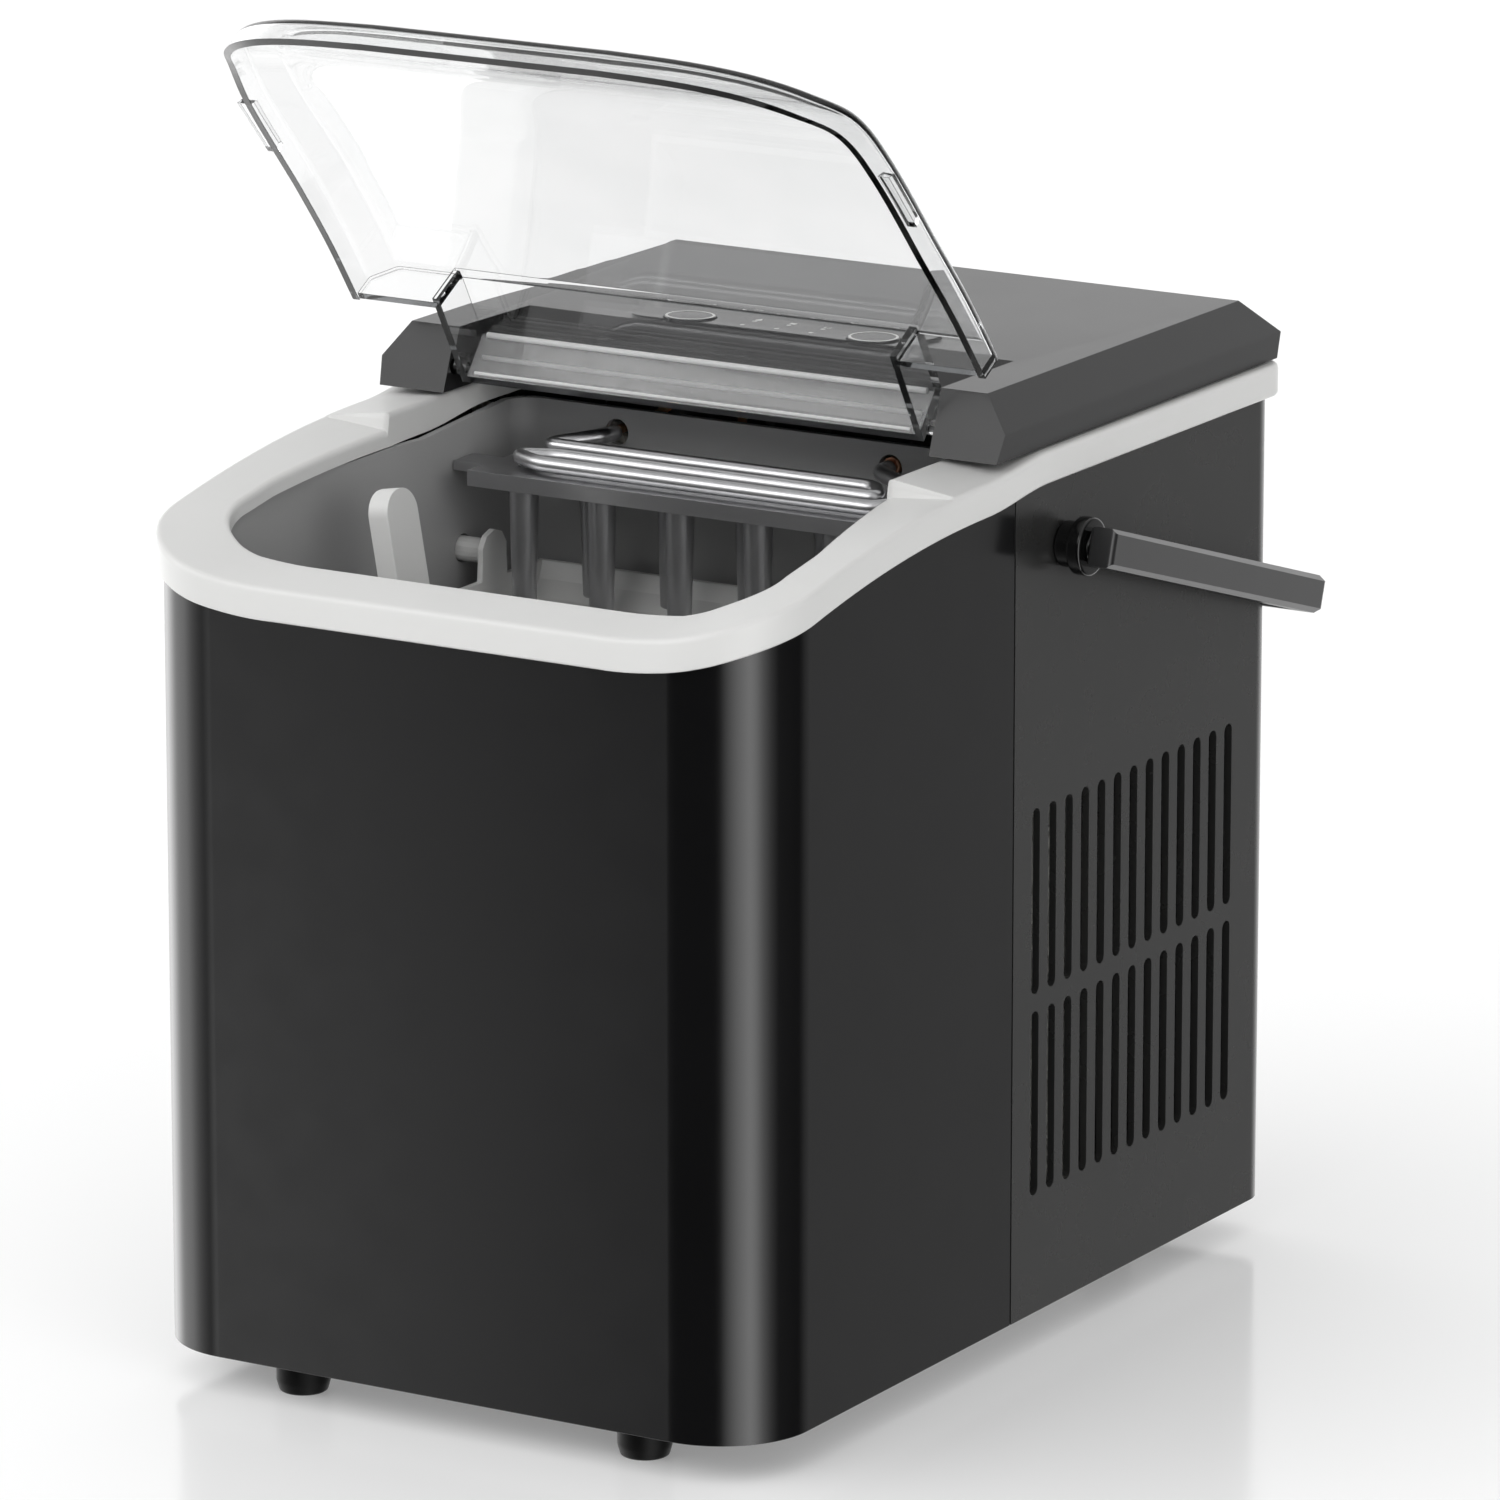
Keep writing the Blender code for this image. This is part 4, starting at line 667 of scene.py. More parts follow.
def collar_stations():
    """Outer points of the collar's right half, from the front middle to the back middle."""
    outer = front_stations(OVERHANG, 0.290, 0.004)
    corner_run = (FRONT_CORNER + OVERHANG) * pi / 2
    for shift in (-0.0012, -0.0006, 0.0, 0.0006, 0.0012):
        y = SHOULDER_Y + shift
        outer.append((HALF + OVERHANG, y, corner_run + y - FRONT_CORNER))
    straight = len(FRONT_SHARES) + CORNER_STEPS + 1
    outer = outer[:straight] + sorted(outer[straight:], key=lambda place: place[1])
    radius = 0.009
    back = arc((HALF + OVERHANG - radius, BACK + OVERHANG - radius), radius, 0, 90, 10)
    back += [(0.05, BACK + OVERHANG), (0.0, BACK + OVERHANG)]
    return outer + [(x, y, PAST_RISE) for x, y in back]


def light_collar():
    """The collar as a closed ring: a rounded outer edge, a sloping band, a rolled inner lip."""
    ring = []
    for number, (x, y, run) in enumerate(collar_stations()):
        inner_x, inner_y, inner_run = opening_station(number, x, y, run)
        top = collar_top(run, y)
        raised = smoothstep(SHOULDER_Y - 0.0006, SHOULDER_Y + 0.0006, y)
        low_edge = opening_height(inner_run, inner_y)
        edge = low_edge + (max(SHOULDER_TOP, top) - low_edge) * raised
        span = hypot(inner_x - x, inner_y - y)
        slope = (edge - top) / span
        lip = low_edge - 0.0052
        upper = filleted([(0.0, top - COLLAR_HEIGHT), (0.0, top), (span, edge), (span, lip)], 0.0021, 5)
        section = [(0.0006, top - COLLAR_HEIGHT), (0.0, top - COLLAR_HEIGHT + 0.0007)] + upper[1:]
        section += [(span - 0.0020, lip), (span - 0.0020, edge - WALL - slope * 0.002),
                    (WALL, top - WALL + slope * WALL), (WALL, top - COLLAR_HEIGHT)]
        ring.append([(x + (inner_x - x) * s / span, y + (inner_y - y) * s / span, z) for s, z in section])
    left = [[(-x, y, z) for x, y, z in section] for section in reversed(ring[1:-1])]
    bm = bmesh.new()
    skin(bm, ring + left + ring[:1], closed=True)
    bmesh.ops.remove_doubles(bm, verts=bm.verts, dist=0.000002)
    settle(object_from("light_collar", bm), "casing", "collar", LIGHT, "trim_collar", angle=50)


def cover_section(inset):
    """Cross-section of the cover: side, slope and flat top."""
    half = COVER_HALF - inset
    slope = inset * 0.42
    low = COVER_LOW.z if inset == 0 else COVER_LOW.z - 0.01
    right = [(half - 0.0012, low), (half, COVER_EDGE - slope), (half - 0.0087 - slope, COVER_TOP - inset)]
    return right + [(-x, z) for x, z in reversed(right)]


def dark_cover():
    """The cover: two arms reach forward beside the lid's tail, and a ramp joins them."""
    above, beside, behind = 0.33, 0.13, 0.34
    cover = prism("dark_cover", cover_section(0.0), "Y", COVER_FRONT, BACK)
    recess = ((0.10, 0.27), (0.168, 0.27), (0.168, 0.2915), (0.195, COVER_TOP), (0.195, above), (0.10, above))
    slant = ((0.13, 0.28), (COVER_FRONT, 0.28), (COVER_FRONT, COVER_LOW.z), (COVER_FRONT + 0.0075, COVER_TOP),
             (COVER_FRONT + 0.0075, above), (0.13, above))
    rear = ((0.311, above), (0.311, COVER_TOP), (BACK, COVER_EDGE), (behind, COVER_EDGE), (behind, above))
    inner = prism("cover_hollow", cover_section(WALL), "Y", 0.201, BACK - WALL)
    hollow_slope = ((0.308, above), (0.308, 0.3068), (BACK - 0.004, 0.2955), (behind, 0.2955),
                    (behind, above))
    cut(inner, prism("hollow_slope", hollow_slope, "X", -beside, beside))
    cut(cover, prism("cover_recess", recess, "X", -0.088, 0.088),
        prism("cover_slant", slant, "X", -beside, beside),
        prism("cover_rear", rear, "X", -beside, beside), inner)
    arm_hollow = ((0.153, 0.28), (0.202, 0.28), (0.202, 0.297), (0.153, 0.297))
    holes = [prism("arm_hollow", arm_hollow, "X", low_x, high_x)
             for low_x, high_x in both_sides(0.0905, COVER_HALF - WALL)]
    cut(cover, merged("arm_hollows", holes))
    wells, bores = [], []
    well_low, bore_low = 0.296, 0.302
    for side in (-1, 1):
        x = side * BUTTON_X
        wells.append(cylinder("well", 0.0102, (x, BUTTON_Y, well_low), COVER_TOP - WALL - well_low, "Z"))
        bores.append(cylinder("bore", BUTTON_BORE, (x, BUTTON_Y, bore_low), 0.02, "Z"))
        bores.append(cylinder("hinge_bore", 0.0028, (side * 0.089 - 0.006, HINGE_Y, HINGE_Z), 0.012, "X"))
    cut(cover, merged("wells", wells))
    cut(cover, merged("bores", bores))
    round_edges(cover, 0.0008, 3, 14)
    settle(cover, "casing", "cover", COVER, "top_cover")


# ---------------- lid
def rim_height(depth):
    """Height of the closed lid's rim, a smooth curve through LID_RIM_CURVE."""
    points = LID_RIM_CURVE
    last = len(points) - 2
    index = max(i for i in range(last + 1) if i == 0 or depth >= points[i][0])
    (y0, z0), (y1, z1) = points[index], points[index + 1]
    before, after = points[max(0, index - 1)], points[min(last + 1, index + 2)]
    slope0 = (z1 - before[1]) / (y1 - before[0])
    slope1 = (after[1] - z0) / (after[0] - y0)
    t = min(1.0, max(0.0, (depth - y0) / (y1 - y0)))
    rise = z0 * (1 + 2 * t) * (1 - t) ** 2 + z1 * t * t * (3 - 2 * t)
    return rise + (y1 - y0) * (slope0 * t * (1 - t) ** 2 - slope1 * t * t * (1 - t))


def lid_outline(inset):
    """Right half of the lid's outline from the nose to the notch: a squarish curve, then a straight side."""
    half, reach = LID_HALF - inset, LID_CURVE_Y - LID_FRONT_Y - inset
    power = 2 / LID_SQUARENESS
    points = [(0.0, LID_CURVE_Y - reach)]
    steps = 44
    for step in range(steps + 1):
        turn = radians(84) * (1 - step / steps) ** 1.6
        y = LID_CURVE_Y - reach * sin(turn) ** power
        points.append((half * cos(turn) ** power, points[0][1] if step == 0 else y))
    for step in range(1, 10):
        t = step / 9
        points.append((half + (LID_NOTCH_HALF - LID_HALF) * t, LID_CURVE_Y + (LID_NOTCH_Y - LID_CURVE_Y) * t))
    return points


def tail_outline(inset):
    """Side view of the lid's tail, between the arms: open in front and below when hollowed."""
    top = LID_BOTTOM + LID_SKIRT + LID_CHAMFER_RISE - 0.0003
    low = LID_BOTTOM + 0.0005
    foot_y = LID_TAIL_Y + 0.0058
    if inset:
        return ((0.10, 0.27), (foot_y - inset, 0.27), (foot_y - inset, low),
                (LID_TAIL_Y - inset, top - inset), (0.10, top - inset))
    return ((LID_NOTCH_Y - 0.004, low), (foot_y, low), (LID_TAIL_Y, top - 0.0014),
            (LID_TAIL_Y - 0.0014, top), (LID_NOTCH_Y - 0.004, top))


def clear_lid():
    """The lid: skirt, slope and plate with rounded edges, notch walls, tail and two side tabs.

    Its rim and its rounded edges carry a dark painted edge shade, and the back wall of its tail a whitish
    painted reflection.
    """
    profile = filleted([(0.0, 0.0), (0.0, LID_SKIRT), (LID_CHAMFER_IN, LID_SKIRT + LID_CHAMFER_RISE),
                        (LID_CHAMFER_IN + 0.006, LID_SKIRT + LID_CHAMFER_RISE)], 0.0020, 3)[:-1]
    rims = [rim_height(y) for x, y in lid_outline(0.0)]
    rows = []
    for inset, height in profile:
        rows.append([(x, y, low + height) for (x, y), low in zip(lid_outline(inset), rims)])
    rows.append([(0.0, y, z) for x, y, z in rows[-1]])
    shell = grid("clear_lid", rows, LID_THICK, mirror=True)
    tail = prism("lid_tail", tail_outline(0.0), "X", -LID_TAIL_HALF, LID_TAIL_HALF)
    core_half = LID_TAIL_HALF - LID_THICK
    cut(tail, prism("lid_tail_core", tail_outline(LID_THICK), "X", -core_half, core_half))
    join(shell, tail)
    ridge_z = LID_BOTTOM + LID_SKIRT
    plate_z = ridge_z + LID_CHAMFER_RISE
    outer, inner = LID_NOTCH_HALF - 0.0012, LID_TAIL_HALF - 0.0015
    wall = ((inner, LID_BOTTOM + 0.0003), (outer, LID_BOTTOM + 0.0003), (outer, ridge_z - 0.0006),
            (outer - LID_CHAMFER_IN + 0.0006, plate_z - 0.0009), (inner, plate_z - 0.0009))
    z = rim_height(0.030)
    tab = ((0.0280, z + 0.0004), (0.0520, z + 0.0060), (0.0505, z + 0.0085), (0.0290, z + 0.0036))
    for side, (low_x, high_x) in zip((-1, 1), both_sides(LID_HALF - 0.0020, LID_HALF + 0.0032)):
        wall_here = [(side * x, z) for x, z in wall]
        notch_wall = prism("notch_wall", wall_here, "Y", LID_NOTCH_Y - 0.0026, LID_NOTCH_Y - 0.0003)
        join(shell, notch_wall)
        join(shell, prism("lid_tab", tab, "X", low_x, high_x))
    for material in (CLEAR, PAINTED_EDGE_SHADE, PAINTED_TAIL_REFLECTION):
        shell.data.materials.append(material)
    for face in shell.data.polygons:
        # rim faces get the dark painted edge shade, the tail's back wall the whitish painted reflection
        if abs(face.center.z - rim_height(face.center.y)) < 0.0007 and face.normal.z < -0.5:
            face.material_index = 1
        elif face.center.y > LID_TAIL_Y - 0.004:
            face.material_index = 2
    # the rounded edges get the dark painted edge shade as well
    round_edges(shell, 0.0005, 2, 55).modifiers["rounded_edges"].material = 1
    shell.data.transform(lid_turn())
    settle(shell, "lid_body", "clear", CLEAR, "lid", angle=30)


def lid_turn():
    """From the closed lid to the open one."""
    hinge = Vector((0, HINGE_Y, HINGE_Z))
    return Matrix.Translation(hinge) @ Matrix.Rotation(-LID_OPEN, 4, "X") @ Matrix.Translation(-hinge)


def lid_ribs():
    """Ribs along the inside of the lid's tail, whitish so that they show as painted highlight lines: at its
    ridge, half way down and at its foot.
    """
    for name, y, z, radius in (("ridge", 0.1434, 0.3062, 0.0010), ("middle", 0.1482, 0.3005, 0.0008),
                               ("foot", 0.1489, 0.2942, 0.0006)):
        rib = cylinder(f"lid_rib_{name}", radius, (-0.0790, y, z), 0.1580, "X", 12)
        rib.data.transform(lid_turn())
        settle(rib, "lid_body", "clear", RIB_PAINTED_HIGHLIGHT)


SIDES = (("left", -1, "-X"), ("right", 1, "X"))


def lid_pins():
    """The two pins at the ends of the lid's tail."""
    start = LID_TAIL_HALF + 0.0003
    profile = ((0, 0.0), (0.0020, 0.0), (0.0024, 0.0004), (0.0024, 0.0080), (0.0020, 0.0085), (0, 0.0085))
    for name, side, axis in SIDES:
        pin = turned(f"hinge_pin_{name}", profile, (side * start, HINGE_Y, HINGE_Z), axis, 32)
        settle(pin, "lid_body", "clear", CLEAR, f"lid_pin_{name}")


# ---------------- carry handle
def handle_point(reach, tall, x):
    """A point of the lowered handle: reach along its arm from the pivot, tall across it, x to the side."""
    cos_d, sin_d = cos(HANDLE_DROOP), sin(HANDLE_DROOP)
    return (x, PIVOT_Y + reach * cos_d + tall * sin_d, PIVOT_Z - reach * sin_d + tall * cos_d)


def bail():
    """The carry handle: a faceted bar swept back along each arm and across behind the body."""
    half_t, half_w, facet = HANDLE_TALL / 2, HANDLE_THICK / 2, HANDLE_FACET
    section = ((half_w, half_t - facet), (half_w - facet, half_t), (-half_w + facet, half_t),
               (-half_w, half_t - facet), (-half_w, -half_t + facet), (-half_w + facet, -half_t),
               (half_w - facet, -half_t), (half_w, -half_t + facet))
    path = ((HANDLE_ROOT_X, HANDLE_ROOT_REACH, 0.0), (HANDLE_END_X, HANDLE_REACH, 45.0),
            (0.0, HANDLE_REACH, 90.0))
    rows = []
    for x, reach, turn in path:
        cos_t, sin_t = cos(radians(turn)), sin(radians(turn))
        stretch = 1 / cos(radians(45)) if turn == 45.0 else 1.0
        rows.append([handle_point(reach + across * stretch * sin_t, tall, x + across * stretch * cos_t)
                     for across, tall in section])
    bm = bmesh.new()
    made = skin(bm, rows, closed=True)
    bm.faces.new(made[0])
    root_uprights, corner_uprights = ((7, 0), (3, 4)), ((6, 7), (7, 0), (0, 1))
    for row, uprights, width in ((made[0], root_uprights, 0.0022), (made[1], corner_uprights, 0.0030)):
        upright = [bm.edges.get((row[first], row[second])) for first, second in uprights]
        bmesh.ops.bevel(bm, geom=upright, offset=width, segments=5, profile=0.5, affect="EDGES")
    handle = object_from("bail", bm)
    both = handle.modifiers.new("both_sides", "MIRROR")
    both.merge_threshold = 0.00005
    bake(handle)
    cut(handle, cylinder("handle_bore", 0.0049, (-0.1285, PIVOT_Y, PIVOT_Z), 0.2570, "X"))
    round_edges(handle, 0.0006, 3, 25)
    settle(handle, "handle_body", "cover", HANDLE, "carry_handle")


def pivots():
    """Fixed pins with a stepped collar against the side of the body."""
    outline = [(0.0, 0.0160), (0.0044, 0.0160), (0.0044, 0.0104), (0.0092, 0.0104), (0.0092, 0.0056),
               (0.0073, 0.0056), (0.0073, 0.0004), (0.0045, 0.0004), (0.0045, -0.0060), (0.0, -0.0060)]
    profile = filleted(outline, 0.0009, 3)
    for name, side, axis in SIDES:
        pin = turned(f"pivot_{name}", profile, (side * HALF, PIVOT_Y, PIVOT_Z), axis)
        settle(pin, "casing", "cover", PIVOT, f"handle_pivot_{name}", angle=60)


# ---------------- bin, basket and scoop
def tub():
    """The bin and water tank in one, with the mechanism's bay at the back."""
    corner_steps = 14
    corner_x, corner_y = TUB_HALF - TUB_CORNER, TUB_FRONT + TUB_CORNER
    corner_run = (FRONT_CORNER + OVERHANG) * pi / 2 + corner_y - FRONT_CORNER
    front_arc = arc((corner_x, corner_y), TUB_CORNER, -90, 0, corner_steps)
    shares = (0.0, 0.7, 0.8, 0.9)
    runs = [corner_x * (share - 1) for share in shares]
    runs += [corner_run * step / corner_steps for step in range(corner_steps + 1)]
    side = [(TUB_HALF, 0.050), (TUB_HALF, 0.072), (TUB_SHOULDER_HALF + 0.0005, SHOULDER_Y - 0.002),
            (TUB_BAY_HALF, 0.128)]
    back_arc = arc((TUB_BAY_HALF - 0.008, TUB_BACK - 0.008), 0.008, 0, 90, 8)
    outline = [(corner_x * share, TUB_FRONT) for share in shares] + front_arc + side + back_arc
    outline += [(0.0, TUB_BACK)]
    runs += [corner_run + y - corner_y for x, y in outline[len(runs):]]
    top = [(x, y, opening_height(run, y) - WALL - 0.0030) for (x, y), run in zip(outline, runs)]
    rows = [[(0.0, y, TUB_BOTTOM) for x, y in outline], [(x * 0.965, y, TUB_BOTTOM) for x, y in outline],
            [(x, y, TUB_BOTTOM + 0.0035) for x, y in outline], top]
    liner = grid("bin_and_tank", rows, TUB_WALL, mirror=True, offset=1.0)
    for low_x, high_x in both_sides(BASKET_HALF - 0.004, TUB_HALF + 0.001):
        join(liner, box("ledge", (low_x, 0.044, 0.0965), (high_x, 0.070, 0.1024)))
    holes = [cylinder("tray_bores", 0.0046, (-0.11, TRAY_Y, TRAY_Z), 0.22, "X"),
             cylinder("tank_drain", 0.0045, (-0.11, DRAIN_Y, DRAIN_Z), 0.03, "X"),
             cylinder("suction_passage", 0.0042, (TUBE_X, 0.17, TUBE_Z), 0.03, "Y"),
             cylinder("liquid_passage", 0.0042, (-TUBE_X, 0.17, TUBE_Z), 0.03, "Y")]
    cut(liner, *holes)
    round_edges(liner, 0.0006, 2, 50)
    settle(liner, "casing", "grey", BIN, "tank_liner")


def basket():
    """The slotted lift-out basket."""
    def ring(inset, z):
        outline = rounded_rectangle(BASKET_HALF - inset, BASKET_FRONT + inset, BASKET_BACK - inset, 0.012, 8)
        return [(x, y, z) for x, y in outline] + [(outline[0][0], outline[0][1], z)]
    middle = [(0.0, (BASKET_FRONT + BASKET_BACK) / 2, BASKET_BOTTOM)] * len(ring(0, 0))
    rows = (middle, ring(0.0065, BASKET_BOTTOM), ring(0.0045, BASKET_BOTTOM + 0.0007),
            ring(0.0038, BASKET_BOTTOM + 0.003), ring(0.0, BASKET_TOP))
    bowl = grid("slotted_basket", rows, BASKET_WALL)
    slots = []
    for number in range(9):
        x = (number - 4) * 0.0155
        slots.append(prism("wall_slot", stadium(x, 0.120, 0.174, 0.006), "Y", 0.02, 0.13))
        slots.append(box("floor_slot", (x - 0.003, 0.052, 0.095), (x + 0.003, 0.100, 0.108)))
    cut(bowl, merged("basket_slots", slots))
    round_edges(bowl, 0.0005, 2, 50)
    settle(bowl, "basket_body", "white", WHITE, "ice_basket")


def scoop():
    """The scoop: a bowl open in front and a flat handle, standing on its tip in the basket."""
    stations = ((0.0, 0.80, 0.84), (0.02, 0.89, 0.92), (0.05, 0.94, 0.96), (0.10, 0.98, 0.99),
                (0.16, 1.0, 1.0), (0.26, 1.0, 0.985), (0.36, 0.99, 0.95), (0.46, 0.972, 0.895),
                (0.56, 0.95, 0.82), (0.67, 0.91, 0.71), (0.78, 0.86, 0.58), (0.89, 0.79, 0.43),
                (1.0, 0.70, 0.28))
    turns = [pi * (24 - k) / 24 for k in range(25)]
    rows = []
    for along, width_share, depth_share in stations:
        half, depth = SCOOP_HALF * width_share, SCOOP_DEPTH * depth_share
        row = []
        for turn in turns:
            across = copysign(abs(cos(turn)) ** 0.75, cos(turn))
            down = abs(sin(turn)) ** 0.75
            row.append((SCOOP_LENGTH * along, half * across, -depth * down))
        rows.append(row)
    bowl = grid("scoop", [[(0.0, 0.0, 0.0)] * len(turns)] + rows, 0.0020, offset=0.0)
    grip_outline = rounded_rectangle(0.0085, 0.0, SCOOP_HANDLE, 0.0080, 12)
    grip = prism("scoop_grip", grip_outline, "Z", -0.0078, -0.0006)
    grip.data.transform(Matrix.Rotation(pi / 2, 4, "Z"))
    join(bowl, grip)
    round_edges(bowl, 0.0007, 3, 50)
    bake(bowl)
    bowl.data.transform(Matrix.Translation(SCOOP_PLACE) @ Matrix.Rotation(SCOOP_TILT, 4, "Y"))
    settle(bowl, "scoop_body", "collar", LIGHT, "ice_scoop")


# ---------------- panel, buttons, feet and rear details
def panel():
    """The glossy film, its printed icons, and the buttons with their printed rings."""
    film = prism("panel_film", rounded_rectangle(PANEL_HALF, PANEL_FRONT, PANEL_BACK, 0.0088, 16), "Z",
                 COVER_TOP + 0.0003, FILM_TOP)
    bores = [cylinder("film_hole", BUTTON_BORE, (side * BUTTON_X, BUTTON_Y, 0.300), 0.02, "Z", 64)
             for side in (-1, 1)]
    cut(film, merged("film_holes", bores))
    round_edges(film, 0.00015, 2, 50)
    settle(film, "casing", "shell", FILM, "control_panel")
    outline = ((0.0, KEY_TOP), (BUTTON_RADIUS, KEY_TOP), (BUTTON_RADIUS, 0.3058), (0.0095, 0.3058),
               (0.0095, 0.3048), (0.0022, 0.3048), (0.0022, 0.3012), (0.0, 0.3012))
    profile = filleted(outline, 0.0004, 2)
    low, high = KEY_TOP - 0.0001, KEY_TOP + 0.0001
    ring = ((0.0079, high), (0.0079, low), (0.0071, low), (0.0071, high))
    for name, side, body in (("power", -1, "power_button_body"), ("size", 1, "size_button_body")):
        place = (side * BUTTON_X, BUTTON_Y, 0)
        settle(turned(f"{name}_key", profile, place, "Z"), body, "shell", FILM, f"{name}_button", angle=60)
        settle(turned(f"{name}_ring", ring, place, "Z"), body, "shell", PRINT)
    settle(panel_icons(), "casing", "shell", PRINT)


def panel_icons():
    """Plain printed marks between the keys: a drop, a tray, a cube and six lamps."""
    pieces = []
    low, high = FILM_TOP - 0.0001, FILM_TOP + 0.00008
    for column in (-1, 0, 1):
        for y in (0.2005, 0.2080):
            lamp = arc((column * ICON_PITCH, y), 0.0008, 0, 345, 23)
            pieces.append(prism("lamp", lamp, "Z", low, high))
    drop = arc((-ICON_PITCH, 0.2105), 0.0011, -210, 30, 12) + [(-ICON_PITCH, 0.2129)]
    pieces.append(prism("drop", drop, "Z", low, high))
    pieces.append(prism("cube", rounded_rectangle(0.0011, 0.2098, 0.2120, 0.0003, 4), "Z", low, high))
    tray = ((-0.0012, 0.2118), (-0.0012, 0.2100), (0.0012, 0.2100), (0.0012, 0.2118), (0.0008, 0.2118),
            (0.0008, 0.2104), (-0.0008, 0.2104), (-0.0008, 0.2118))
    pieces.append(prism("tray_mark", [(ICON_PITCH + x, y) for x, y in tray], "Z", low, high))
    return merged("panel_marks", pieces)


def feet():
    """Four round rubber feet with a hollow sole."""
    for name in ("front_left", "front_right", "rear_left", "rear_right"):
        low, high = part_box("foot_" + name)
        place = ((low.x + high.x) / 2, (low.y + high.y) / 2 - FRONT, 0)
        outline = [(0.0, high.z), (0.0085, high.z), (0.0085, 0.0035), (0.0075, 0.0), (0.0055, 0.0),
                   (0.0050, 0.0010), (0.0, 0.0010)]
        foot = turned(f"foot_pad_{name}", filleted(outline, 0.0008, 3), place, "Z", 48)
        settle(foot, "casing", "rubber", RUBBER, "foot_" + name, angle=60)


def rear_details():
    """The cable gland, the four screws with their cross recesses, and the drain's plug."""
    profile = filleted([(0.0062, -0.0090), (0.0035, -0.0090), (0.0035, 0.0055), (0.0070, 0.0055),
                        (0.0085, 0.0040), (0.0085, 0.0003), (0.0062, 0.0003)], 0.0006, 3)
    gland = turned("gland", profile, (GLAND_X, BACK, GLAND_Z), "Y")
    settle(gland, "casing", "rubber", RUBBER, "cable_gland", angle=60)
    profile = filleted([(0.0, 0.0022), (0.0022, 0.0020), (0.0034, 0.0010), (0.0034, 0.0003),
                        (0.0016, 0.0003), (0.0016, -0.0080), (0.0, -0.0090)], 0.0004, 2)
    for number, (x, z) in enumerate(SCREW_PLACES, 1):
        screw = turned(f"screw_{number}", profile, (x, BACK, z), "Y", 40)
        cross = []
        for half_x, half_z in ((0.0015, 0.0003), (0.0003, 0.0015)):
            low, high = (x - half_x, BACK + 0.0012, z - half_z), (x + half_x, BACK + 0.004, z + half_z)
            cross.append(box("blade", low, high))
        cut(screw, *cross)
        settle(screw, "casing", "steel", STEEL, f"rear_screw_{number}")
    profile = filleted([(0.0, 0.0052), (0.0095, 0.0052), (0.0105, 0.0042), (0.0105, 0.0026), (0.0042, 0.0026),
                        (0.0040, -0.0100), (0.0, -0.0100)], 0.0006, 3)
    plug = turned("drain_stopper", profile, (-HALF, DRAIN_Y, DRAIN_Z), "-X")
    settle(plug, "drain_plug_body", "rubber", RUBBER, "drain_plug", angle=60)


# ---------------- ice mechanism
def tube(name, path, radius):
    """A round tube along a line of 3D points."""
    curve = bpy.data.curves.new(name, "CURVE")
    curve.dimensions = "3D"
    curve.bevel_depth = radius
    curve.bevel_resolution = 5
    curve.use_fill_caps = True
    spline = curve.splines.new("POLY")
    spline.points.add(len(path) - 1)
    for point, place in zip(spline.points, path):
        point.co = (*place, 1.0)
    source = add_object(name + "_line", curve)
    bm = bmesh.new()
    bm.from_mesh(evaluated_mesh(source))
    bpy.data.objects.remove(source)
    bmesh.ops.remove_doubles(bm, verts=bm.verts, dist=0.000001)
    return object_from(name, bm)


def cooling():
    """The freezing plate with its round-ended fingers, and the tube that runs over it."""
    plate = box("freezing_plate", (-0.072, TRAY_Y - 0.019, PLATE_LOW), (0.072, TRAY_Y + 0.019, PLATE_HIGH))
    ears = box("plate_ears", (-0.0854, TRAY_Y - 0.006, 0.2645), (0.0854, TRAY_Y + 0.006, 0.2675))
    join(plate, ears)
    profile = filleted([(0.0, 0.2655), (0.0048, 0.2655), (0.0038, 0.2255), (0.0, 0.2255)], 0.0012, 4)
    pitch = 0.0285
    for y, count in ((TRAY_Y - 0.0095, 5), (TRAY_Y + 0.0095, 4)):
        for number in range(count):
            finger = turned("finger", profile, ((number - (count - 1) / 2) * pitch, y, 0), "Z", 28)
            join(plate, finger)
    round_edges(plate, 0.0004, 2, 50)
    settle(plate, "casing", "steel", STEEL, "evaporator", angle=50)
    z = PLATE_HIGH + 0.0033
    tube_end_y = 0.1838
    path = ((-TUBE_X, tube_end_y, TUBE_Z), (-TUBE_X, TRAY_Y + 0.028, TUBE_Z),
            (-0.062, TRAY_Y + 0.012, z), (0.058, TRAY_Y + 0.012, z), (0.066, TRAY_Y, z), (-0.050, TRAY_Y, z),
            (-0.062, TRAY_Y - 0.006, z), (-0.050, TRAY_Y - 0.012, z), (0.072, TRAY_Y - 0.012, z),
            (0.080, TRAY_Y + 0.004, z + 0.001), (TUBE_X, TRAY_Y + 0.028, TUBE_Z),
            (TUBE_X, tube_end_y, TUBE_Z))
    coil = tube("cooling_tube", filleted(path, 0.004, 5), 0.0026)
    settle(coil, "casing", "steel", STEEL, "evaporator_coil")


